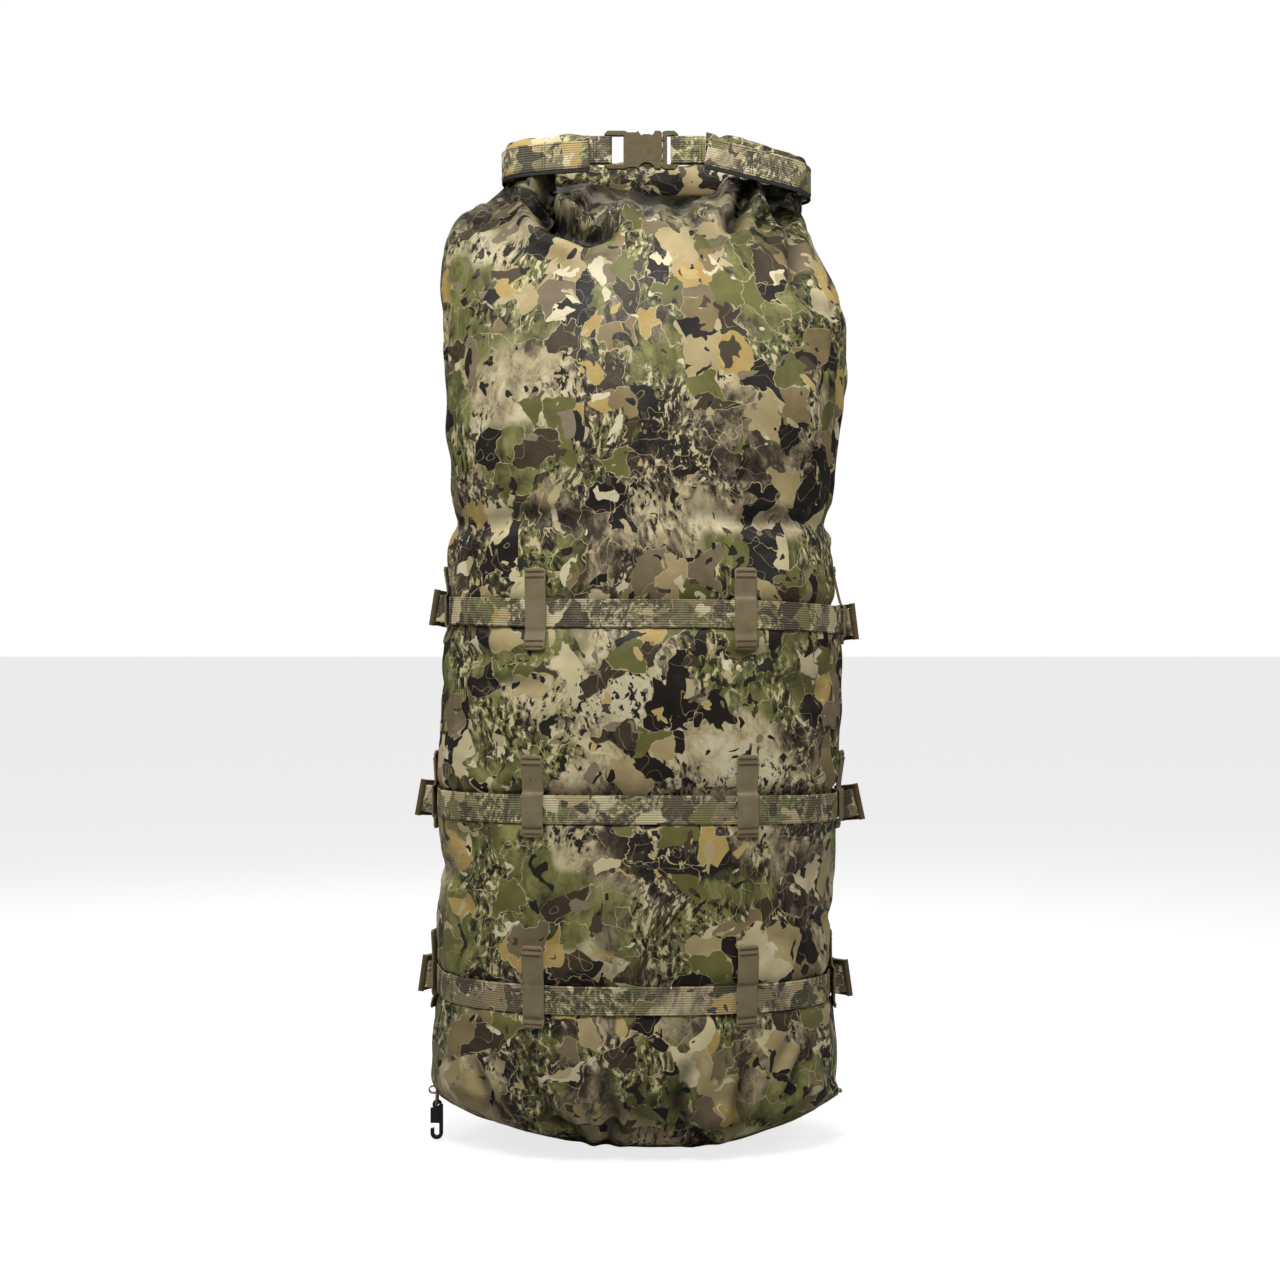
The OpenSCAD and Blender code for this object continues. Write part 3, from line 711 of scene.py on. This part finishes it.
def fold_front(g, normals):
    """Presses the listed creases into the front, and says how deep each point lies in one."""
    x, z = g[:, :, 0], g[:, :, 2]
    front = smooth_step(0.02, -0.03, g[:, :, 1])
    push = np.zeros(x.shape)
    for points, depth, width in FOLDS:
        line = curve_through(arr(*points), 0.004)
        near = np.full(x.shape, 1e9)
        along = np.zeros(x.shape)
        for k, (px, pz) in enumerate(line):
            d = np.hypot(x - px, z - pz)
            closer = d < near
            near = np.where(closer, d, near)
            along = np.where(closer, k / (len(line) - 1), along)
        fade = np.sin(np.pi * np.clip(0.12 + 0.76 * along, 0, 1)) ** 0.7
        w = width * MM
        valley = np.exp(-(near / w) ** 2)
        lip = 0.35 * np.exp(-((near - 1.9 * w) / (0.9 * w)) ** 2)
        push += depth * MM * fade * (lip - valley)
    return g + normals * (push * front)[:, :, None], np.clip(-push * front / 0.010, 0, 1)


def wrinkle(g):
    """The creased grid, and how deep each point of it lies in a fold.

    Adds the folds of the front, pleats at the mouth, puckers at the straps and the base, soft wrinkles
    at the sides, the side seams' ridges and the corner ears.
    """
    normals = grid_normals(g)
    g, fold_shade = fold_front(g, normals)
    across = np.broadcast_to((ANGLES / (2 * math.pi))[None, :], g.shape[:2])
    z = g[:, :, 2]
    side = np.abs(np.cos(ANGLES))[None, :] ** 4
    mouth = smooth_step(0.78, 0.87, z)
    waist = np.exp(-((z - 0.562) / 0.03) ** 2)
    base = smooth_step(0.10, 0.03, z) * smooth_step(0.0, 0.02, z)
    push = np.zeros(z.shape)
    # depth, height of one wrinkle, seed, and wrinkles round the sack
    for depth, size, seed, count in (
            (mouth * 0.0046, 0.09, 11, 40), (mouth * 0.0018, 0.05, 12, 96),
            (side * 0.0026 * smooth_step(0.03, 0.10, z), 0.050, 13, 84), (side * 0.0014, 0.026, 14, 150),
            (waist * (0.0010 + 0.0016 * side), 0.012, 16, 22), (base * 0.0044, 0.02, 17, 46),
            (0.0013, 0.055, 18, 20), (0.0007, 0.024, 19, 44)):
        push += depth * round_noise(across, z / size, seed, count)
    for height in STRAP_Z:
        gap = np.abs(z - height)
        near = np.exp(-((gap - 0.020) / 0.013) ** 2)
        push += near * (0.0007 + 0.0018 * side) * round_noise(across, z / 0.2, 15, 110)
        push -= 0.0016 * np.exp(-(gap / 0.012) ** 2)
    seam = np.isin(np.arange(COLS), (0, 1, COLS // 2, COLS // 2 + 1)) * smooth_step(0.05, 0.07, z)
    push += 0.0009 * seam
    keep = smooth_step(-0.002, 0.012, z)
    g = g + normals * (push * keep)[:, :, None]
    x, y, z = g[:, :, 0], g[:, :, 1], g[:, :, 2]
    g[:, :, 2] += CORNER_RISE * smooth_step(0.07, 0.16, np.abs(x)) * smooth_step(0.055, 0.0, z)
    for tip, rise in EARS:
        at_ear = np.exp(-((y - CORNER_Y) / 0.014) ** 2 - ((z - rise) / 0.009) ** 2)
        here = np.sign(tip) * x > 0.12
        gap = np.where(here, np.maximum(np.abs(tip) - np.abs(x), 0), 0)
        g[:, :, 0] += np.sign(tip) * gap * np.minimum(at_ear * 1.15, 1)
    g[:, :, 2] = np.maximum(g[:, :, 2], FLOOR_GAP)
    return g, fold_shade


grid = cloth_puff(grid)
grid, depth_in_folds = wrinkle(grid)


def make_sack():
    rows, cols = grid.shape[:2]
    faces = grid_faces(rows, cols)
    girth = 1.02
    up = lengths_along(grid[:, FRONT_COLUMN])
    i, j = np.meshgrid(np.arange(rows - 1), np.arange(cols), indexing="ij")
    u = np.stack([j, j + 1, j + 1, j], -1) / cols * girth
    v = np.stack([up[i], up[i], up[i + 1], up[i + 1]], -1)
    back = (j < cols // 2)[:, :, None]
    # the back panel is cut from another part of the print
    uv = np.stack([u + 0.43 * back, v + 0.19 * back], -1).reshape(-1, 2)
    faces = faces.tolist()
    faces.append([j for j in reversed(range(cols))])
    base = [(0.5 + grid[0, j, 0], grid[0, j, 1]) for j in reversed(range(cols))]
    uv = np.vstack([uv, base])
    piece = finish_mesh("sack_fabric", grid.reshape(-1, 3), faces, uv, None, FABRIC)
    # the fold depth, kept on the mesh for the painted shade in the folds
    piece.data.attributes.new("fold_shade", "FLOAT", "POINT").data.foreach_set(
        "value", depth_in_folds.astype(np.float32).ravel())
    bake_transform(piece)
    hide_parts("front_panel", "back_panel", "neck", "side_seam_tape_left",
                "side_seam_tape_right", "bottom_seam_tape")


make_sack()
skin = [Vector(p) for p in grid.reshape(-1, 3)]
skin_tree = BVHTree.FromPolygons(skin, grid_faces(*grid.shape[:2]).tolist())


def on_skin(angle, z):
    """The point of the visible sack at an angle round it and a height."""
    return ray_in(skin_tree, angle, z)


def skin_row(z, angles, lift):
    """A line round the sack that lies on its proud parts, lifted off it."""
    half = 0.012
    r = np.zeros(len(angles))
    for dz in (-half, -half / 2, 0, half / 2, half):
        r = np.maximum(r, [np.hypot(*on_skin(a, zz + dz)[:2]) for a, zz in zip(angles, z)])
    for _ in range(5):
        r[1:-1] = np.maximum(r[1:-1], (r[2:] + r[:-2]) / 2)
    for _ in range(4):
        r[1:-1] = (r[2:] + r[:-2] + 2 * r[1:-1]) / 4
    path = np.stack([r * np.cos(angles), r * np.sin(angles), z], 1)
    return path + outwards(level_sides(path), path[len(path) // 2] * [1, 1, 0]) * lift


# ---- Compression straps ----

LEVELS = ("low", "mid", "top")
SIDES = (("left", -1), ("right", 1))
WEB_W = 0.025
WEB_T = 0.0015
WEB_RIBS = 12
STRAP_GAP = 0.0004           # between a strap and the cloth under it
LOOP_GAP = 0.0003            # between a keeper loop and the cloth under it
# Each lock's rod (x from the seam), height above its strap and lean in degrees, low to top; millimetres.
LOCK = {"left": [(18.5, 1, 8), (24, -2, 10), (20, 6, 9)],
        "right": [(22, -4, 8), (26.5, -7, 12), (22, -7, 7)]}
LOCK_BAR = np.array([11.0, 34.0])
ROD_Y = 10.0
ROD_R = 2.8

strap_paths = {}


def webbing(name, path, across, body, node=None, side=1, u0=0.0, v0=0.0):
    """A strip of the ribbed 25 mm webbing, in place of a CAD node if one is named."""
    piece = strip(name, path, across, WEB_W, WEB_T, body, WEBBING, WEB_RIBS, side,
                  u0, v0)
    if node:
        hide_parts(node)
    return piece


def make_straps():
    for level, name in enumerate(LEVELS):
        left, right = LOCK["left"][level][1] * MM * 0.7, LOCK["right"][level][1] * MM * 0.7
        for face, first in (("front", 180), ("back", 0)):
            angles = np.radians(np.linspace(first, first + 180, 150))
            share = np.cos(angles)
            z = STRAP_Z[level] + np.where(share < 0, left, right) * np.abs(share) ** 3
            path = skin_row(z, angles, STRAP_GAP + WEB_T / 2)
            strap_paths[face, level] = path
            webbing(f"strap_{face}_{name}_webbing", path, UP, "sack", f"strap_{face}_{name}",
                    u0=level * 0.7, v0=level * 0.09 + (0.04 if face == "back" else 0))


def beside_strap(level, side, points):
    """Plan points beside a strap's end, in millimetres, moved into place as in the CAD."""
    x0 = (SEAM_RIGHT if side > 0 else SEAM_LEFT)[level] / MM
    lock = LOCK["right" if side > 0 else "left"][level]
    lean = -math.radians(lock[2])
    out = []
    for x, y, z in points:
        dx = x - LOCK_BAR[0]
        rx = dx * math.cos(lean) + z * math.sin(lean)
        rz = -dx * math.sin(lean) + z * math.cos(lean)
        out.append((x0 + side * (rx + LOCK_BAR[0]), y, STRAP_Z[level] / MM + lock[1] + rz))
    return np.array(out) * MM


def width_way(level, side):
    a = beside_strap(level, side, [(LOCK_BAR[0], 0, 0), (LOCK_BAR[0], 0, 10)])
    return unit(a[1] - a[0])


def tail_points(level, side):
    """The threaded end of a front strap, as in the CAD."""
    rod_x, _, tilt = LOCK["right" if side > 0 else "left"][level]
    rod = np.array([rod_x, ROD_Y])
    along = (rod - LOCK_BAR) / np.linalg.norm(rod - LOCK_BAR)
    out = np.array([-along[1], along[0]])
    lie = ROD_R + 0.45 + 0.75
    bend, front_y = 1.6, 7.4
    far = (front_y + bend - LOCK_BAR[1] + (lie + bend) * out[1]) / along[1]
    corner = LOCK_BAR + far * along - (lie + bend) * out
    turn = math.atan2(-along[1], -along[0])
    start_x = 3.2 + WEB_W / 2 / MM * math.sin(math.radians(tilt))
    path = [np.array([start_x, 6.4]), np.array([start_x + 4, front_y])]
    for k in range(6):
        a = -math.pi / 2 + turn * k / 5
        path.append(corner + bend * np.array([math.cos(a), math.sin(a)]))
    threaded = [(10.4 + lie * math.cos(math.radians(a)), lie * math.sin(math.radians(a)))
                for a in range(-90, -271, -30)]
    for p in threaded + [(16, lie), (18.6, 3.2), (20.2, 1.2), (20.6, -1.2)]:
        path.append(LOCK_BAR + p[0] * along + p[1] * out)
    return [(x, y, 0) for x, y in path]


def eye_points():
    r = 2.4 + 0.2 + 0.75
    path = [(2.2, 52), (5.2, 44.5)]
    path += [tuple(LOCK_BAR + r * np.array([math.cos(math.radians(a)), math.sin(math.radians(a))]))
             for a in range(150, 391, 20)]
    return [(x, y, 0) for x, y in path + [(11.5, 42), (7.6, 48), (5, 53.5)]]


def make_strap_ends():
    for level, name in enumerate(LEVELS):
        for side_name, side in SIDES:
            way = width_way(level, side)
            shift = level * 0.3 + side * 0.1
            points = tail_points(level, side)
            tail = curve_through(beside_strap(level, side, points), 0.0011)
            node = f"strap_tail_{name}_{side_name}"
            piece = webbing(node + "_webbing", tail, way, None, node, side, 2 + shift, 0.2)
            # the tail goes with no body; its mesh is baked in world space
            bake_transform(piece)
            eye = curve_through(beside_strap(level, side, eye_points()), 0.0011)
            webbing(f"strap_eye_{name}_{side_name}", eye, way, "sack", None, side, 3 + shift, 0.3)


make_straps()
make_strap_ends()

# ---- Keeper loops ----

LOOP_W, LOOP_H, LOOP_T = 0.0205, 0.072, 0.0016
LOOP_RISE = [0.011, 0.011, 0.004]
SIDE_RISE = 0.009
TACK = 0.009                 # from a loop's end to the inner edge of its bar tacks
TACK_ROWS = (0.0034, 0.0082)
CORNER_R = 0.0028
FRONT_LOOP_X = 0.090
SIDE_LOOP_Y = -0.006
SIDE_SLACK = 0.0016


def keeper(name, level, angle, rise, slack, node):
    """A strip sewn down at both ends that arches over its strap, with its bar tacks."""
    z0 = STRAP_Z[level]
    mid = on_skin(angle, z0)
    side_way = on_skin(angle + 0.03, z0) - on_skin(angle - 0.03, z0)
    across = unit(np.array([side_way[0], side_way[1], 0]))
    out = np.array([across[1], -across[0], 0])
    if out @ mid < 0:
        out = -out
    path = strap_paths["front" if math.sin(angle) < 0 else "back", level]
    strap_at = path[int(np.argmin(np.hypot(path[:, 0] - mid[0], path[:, 1] - mid[1])))]
    over = (strap_at - mid) @ out + WEB_T / 2 + STRAP_GAP + LOOP_T / 2 + slack
    # heights along the loop, and the share of the arch over the strap that each has
    keys = [(strap_at[2] + side * dz, arch) for side, dz, arch in (
        (-1, 0.0165, 0.75), (-1, 0.0125, 1), (1, 0, 1), (1, 0.0125, 1), (1, 0.0165, 0.75))]
    low, high = z0 + rise - LOOP_H / 2, z0 + rise + LOOP_H / 2
    keys = ([(low + TACK * share, 0) for share in (0, 0.6, 1)] + keys
            + [(high - TACK * share, 0) for share in (1, 0.6, 0)])
    points = []
    for z, arch in keys:
        ground = max(0, *((on_skin(angle + da, z) - mid) @ out for da in (-0.05, 0, 0.05)))
        ground += LOOP_T / 2 + LOOP_GAP
        lift = max(ground, over * arch) if arch else ground
        points.append(mid * [1, 1, 0] + UP * z + out * lift)
    line = curve_through(points, 0.0014)
    s = lengths_along(line)
    past = np.maximum(CORNER_R - np.minimum(s, s[-1] - s), 0)
    taper = 1 - (CORNER_R - np.sqrt(CORNER_R ** 2 - past ** 2)) / (LOOP_W / 2)
    piece = strip(name, line, across, LOOP_W, LOOP_T, "sack", HYPALON, taper=taper)
    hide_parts(node)
    up = outwards(unit(np.cross(tangents(line), np.broadcast_to(across, line.shape))), out)
    half = across * (LOOP_W / 2 - 0.0011)
    stitches = []
    for at in (*TACK_ROWS, *(s[-1] - x for x in reversed(TACK_ROWS))):
        n = point_at(up, s, at)
        c = point_at(line, s, at) + n * (LOOP_T / 2)
        for row in (-0.00035, 0.00035):
            middle = c + unit(np.cross(across, n)) * row
            stitches += stitch_line([middle - half, middle + half], n, 0.0013, 0.9, 0.00042)
    joined(name + "_tacks", stitches, "sack", THREAD)


def make_keepers():
    for level, name in enumerate(LEVELS):
        for side_name, side in SIDES:
            for face, turn in (("front", 1), ("back", -1)):
                angles = np.radians(np.linspace(200, 340, 141)) * turn
                xs = np.array([on_skin(a, STRAP_Z[level])[0] for a in angles])
                angle = angles[int(np.argmin(np.abs(xs - side * FRONT_LOOP_X)))]
                keeper(f"{face}_keeper_{name}_{side_name}", level, angle, LOOP_RISE[level], 0,
                       f"{face}_loop_{name}_{side_name}")
            angle = math.atan2(SIDE_LOOP_Y, (SEAM_RIGHT if side > 0 else SEAM_LEFT)[level])
            keeper(f"side_keeper_{name}_{side_name}", level, angle, SIDE_RISE, SIDE_SLACK,
                   f"side_loop_{name}_{side_name}")


make_keepers()

# ---- Rolled mouth ----

ROLL = arr(
    (-46, -47, 898), (-80, -46, 896), (-104, -44, 894), (-114, -38, 893), (-118, -27, 891.5),
    (-114, -16, 889.5), (-104, -9, 888), (-60, -3, 884), (0, 0, 881), (60, -1, 880),
    (105, -4, 878), (133, -9, 877), (144, -16, 876.5), (148, -27, 877), (144, -38, 879),
    (133, -45, 882.5), (100, -48, 891), (60, -50, 900))
roll_line = curve_through(ROLL, 0.0022)
roll_s = lengths_along(roll_line)
ROLL_MARKS = [roll_s[int(np.argmin(np.linalg.norm(roll_line - p, axis=1)))] for p in ROLL]


ROLL_R = 0.007               # half the thickness of the roll
# the face with the webbing looks away from the ring's middle
roll_out = outwards(level_sides(roll_line), (0, 1, 0))


def make_roll():
    """Fabric rolled three times: a thick flat roll with the edges of its turns showing."""
    r = ROLL_R
    low, high = -0.0135, 0.0165
    shape = [(-r + 0.0025, low), (-r, low + 0.004), (-r - 0.0003, 0.0), (-r, high - 0.005),
             (-r + 0.0022, high), (-0.0012, high + 0.0012), (0.0, high - 0.0012), (0.0014, high + 0.0018),
             (r - 0.002, high + 0.0006), (r, high - 0.004), (r + 0.0002, 0.0), (r, low + 0.004),
             (r - 0.0022, low), (0.001, low + 0.001), (-0.001, low + 0.001)]
    dense = resample(np.array(shape + shape[:1]), 61)[:-1]
    dense = (np.roll(dense, 1, 0) + np.roll(dense, -1, 0) + 2 * dense) / 4
    across, up = dense.T
    around = np.linspace(0, 1, len(dense), endpoint=False)
    s = roll_s[:, None]
    top = smooth_step(0.008, 0.018, up)
    across = across + 0.0007 * value_noise(s / 0.013, around * 6, 33) * (0.4 + top)
    up = up + top * (0.0014 + 0.0030 * value_noise(s / 0.019, around * 3, 31)
                     + 0.0016 * value_noise(s / 0.0075, around * 7, 32))
    tuck = 1 - 0.25 * smooth_step(0.006, 0.0, np.minimum(s, roll_s[-1] - s))
    rings = roll_line[:, None] + roll_out[:, None] * (across * tuck)[..., None] + UP * up[..., None]
    piece = loft("roll_fabric", rings, roll_s, np.linspace(0.4, 0.52, len(dense) + 1), "roll_top",
                 FABRIC)
    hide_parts("rolled_mouth", "mouth_stiffener")


def make_roll_folds():
    """Loose turns of fabric that stand up above the roll, in two thin folds."""
    across = np.array([-7, -10, -6, 0, 6, 10, 7]) * 1e-4
    below_tip = np.array([0, 12, 3, 0, 3, 12, 0]) * 1e-4
    inner = slice(2, -2)
    s = roll_s[inner]
    for k, (off, seed, height) in enumerate(((0.0030, 41, 0.0195), (-0.0028, 42, 0.0185))):
        sway = off + 0.0016 * value_noise(s / 0.03, 0 * s + 5, seed)
        lift = (height + 0.0022 * value_noise(s / 0.026, 0 * s, seed)
                + 0.0010 * value_noise(s / 0.009, 0 * s + 2, seed))
        lift = 0.010 + (lift - 0.010) * smooth_step(0.0, 0.02, np.minimum(s, roll_s[-1] - s))
        up = lift[:, None] - below_tip
        up[:, [0, -1]] = 0.004
        out = (sway[:, None] + across)[..., None]
        rings = roll_line[inner, None] + roll_out[inner, None] * out + UP * up[..., None]
        loft(f"roll_fold_{k + 1}", rings, s, np.linspace(0.6, 0.64, 8), "roll_top", FABRIC)


def along_roll(first, last, out, up):
    """The roll's line between two of its marks, moved outwards and up."""
    inside = (roll_s >= ROLL_MARKS[first] - 1e-6) & (roll_s <= ROLL_MARKS[last] + 1e-6)
    return roll_line[inside] + roll_out[inside] * out + UP * up, roll_out[inside]


CROSS_ROWS = (0.040, 0.0425)


def cross_stitches(centre, up):
    """A row of stitches straight across an upright webbing."""
    half = UP * (WEB_W / 2 - 0.002)
    return stitch_line([centre - half, centre + half], up, 0.0020, 0.85, 0.00036)


def make_mouth_trim():
    out = ROLL_R + STRAP_GAP + WEB_T / 2
    for name, first, last in (("left", 0, 7), ("right", 10, 17)):
        path = along_roll(first, last, out, 0)[0]
        webbing(f"mouth_webbing_{name}_strip", path, UP, "roll_top", f"mouth_webbing_{name}",
                u0=4 + first * 0.1, v0=0.45)
        rows = []
        for edge in (-1, 1):
            line, up = along_roll(first, last, out + WEB_T / 2, edge * (WEB_W / 2 - 0.0018))
            rows += stitch_line(line, up, 0.0030, 0.7, 0.00030)
        line, up = along_roll(first, last, out + WEB_T / 2, 0)
        s = lengths_along(line)
        for at in CROSS_ROWS:
            at = at if name == "left" else s[-1] - at
            rows += cross_stitches(point_at(line, s, at), point_at(up, s, at))
        joined(f"mouth_stitches_{name}", rows, "roll_top", DARK_THREAD)
    width, thick = 0.0036, 0.0014
    low = -WEB_W / 2 - 0.0020
    path = along_roll(0, 17, ROLL_R + 0.0003 + thick / 2, low)[0]
    binding = strip("mouth_binding_tape", path, UP, width, thick, "roll_top",
                    BINDING)
    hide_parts("mouth_binding")


make_roll()
make_roll_folds()
make_mouth_trim()

# ---- Side release buckle and its webbing ----

BUCKLE = np.array([0, -0.052, 0.902])
BAR_R = 0.0026


def hairpin(end, bend, r):
    """A line from end round a half circle about bend and back, as (along, up) points."""
    out = 1 if end > bend else -1
    turn = [(bend - out * r * math.cos(a), r * math.sin(a)) for a in np.radians(np.arange(-90, 91, 15))]
    return [(end, -r), *turn, (end, r)]


def bar_loop(name, bar_x, end_x, body, node, u0):
    """Webbing doubled round a buckle bar, running back under and over the rolled end."""
    out = 1 if end_x > bar_x else -1
    r = BAR_R + 0.0002 + WEB_T / 2
    line = resample(np.array([BUCKLE + [x, y, 0] for x, y in hairpin(end_x, bar_x, r)]), 60)
    piece = webbing(name, line, UP, body, node, out, u0, 0.6)
    rows = []
    for x in (0.0035, 0.0062):
        rows += cross_stitches(BUCKLE + [end_x - out * x, -r - WEB_T / 2, 0], (0, -1, 0))
    return piece, joined(name + "_stitches", rows, body, DARK_THREAD)


RIGHT_END = 0.0594
bar_loop("buckle_webbing_left_loop", -0.0296, -0.0456, "roll_top", "buckle_webbing_left", 5.5)
for piece in bar_loop("buckle_webbing_right_loop", 0.032, RIGHT_END, "roll_top",
                      "buckle_webbing_right", 5.9):
    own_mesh(piece)


# ---- Corner loops ----

def corner_loop(name, root_x, tip_x, z, gap, node):
    width, thick = 0.006, 0.0012
    out = 1 if tip_x > root_x else -1
    r = (gap + thick) / 2
    bend = tip_x - out * (r + thick / 2)
    line = resample(np.array([(x, CORNER_Y, z + dz) for x, dz in hairpin(root_x, bend, r)]), 40)
    piece = strip(name, line, (0, 1, 0), width, thick, "sack", WEBBING, 3, u0=6.5, v0=0.7)
    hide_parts(node)


corner_loop("corner_tab_left", -0.1834, -0.1935, EARS[0][1], 0.0048, "corner_loop_left")
corner_loop("corner_tab_right", 0.1746, 0.185, EARS[1][1], 0.0012, "corner_loop_right")

# ---- Moulded parts keep their CAD shape, with softened edges ----


def dress(node, material, width):
    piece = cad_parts[node]
    piece.data.materials.clear()
    piece.data.materials.append(material)
    weld = piece.modifiers.new("weld", "WELD")
    weld.merge_threshold = 1e-6
    bevel = piece.modifiers.new("edges", "BEVEL")
    bevel.width = width
    bevel.segments = 3
    bevel.limit_method = "ANGLE"
    bevel.angle_limit = math.radians(40)
    piece.modifiers.new("normals", "WEIGHTED_NORMAL")
    piece.data.polygons.foreach_set("use_smooth", [True] * len(piece.data.polygons))


for node in ("buckle_female", "buckle_male", "latch_upper", "latch_lower"):
    dress(node, COYOTE, 0.0006)
for name in LEVELS:
    for side_name, _ in SIDES:
        dress(f"ladder_lock_{name}_{side_name}", COYOTE, 0.0008)
dress("corner_hook", BLACK, 0.0007)

# ---- Floor, light and size ----


def make_stage():
    mesh = bpy.data.meshes.new("floor")
    mesh.from_pydata([(-30, -30, 0), (30, -30, 0), (30, 60, 0), (-30, 60, 0)], [], [(0, 1, 2, 3)])
    floor = placed("floor", mesh)
    s = new_material("floor")
    # seen directly, the floor looks white
    glow = s.times(s.put("LightPath").outputs["Is Camera Ray"], 0.78)
    mesh.materials.append(s.done((0.3, 0.3, 0.3, 1), 0.9, Emission_Color=(1, 1, 1, 1),
                                 Emission_Strength=glow))
    SCENE.world = bpy.data.worlds.new("world")
    w = Shader(SCENE.world)
    light_it_gives = w.put("Background", {0: (1, 0.985, 0.96, 1), 1: 0.15}).outputs[0]
    backdrop = w.put("Background", {0: (1, 1, 1, 1), 1: 1.0}).outputs[0]
    seen = w.put("LightPath").outputs["Is Camera Ray"]
    pick = w.put("MixShader", {0: seen, 1: light_it_gives, 2: backdrop}).outputs[0]
    w.set(w.tree.nodes["World Output"].inputs[0], pick)
    for name, place, aim, size, power in (
            ("key", (-0.2, -1.15, 1.95), (0, 0, 0.85), 0.55, 28),
            ("left", (-1.3, -0.5, 1.55), (0, 0, 0.70), 0.8, 8),
            ("right", (1.3, -0.5, 1.5), (0, 0, 0.70), 0.8, 9),
            ("top", (0.1, 0.5, 2.1), (0, 0, 0.85), 0.8, 10),
            ("back", (-0.4, 1.7, 1.7), (0, 0, 0.6), 1.0, 18)):
        light = placed(name, bpy.data.lights.new(name, "AREA"))
        light.data.size = size
        light.data.energy = power
        light.location = place
        light.rotation_euler = (Vector(aim) - Vector(place)).to_track_quat("-Z", "Y").to_euler()
    SCENE.view_settings.view_transform = "Standard"


make_stage()
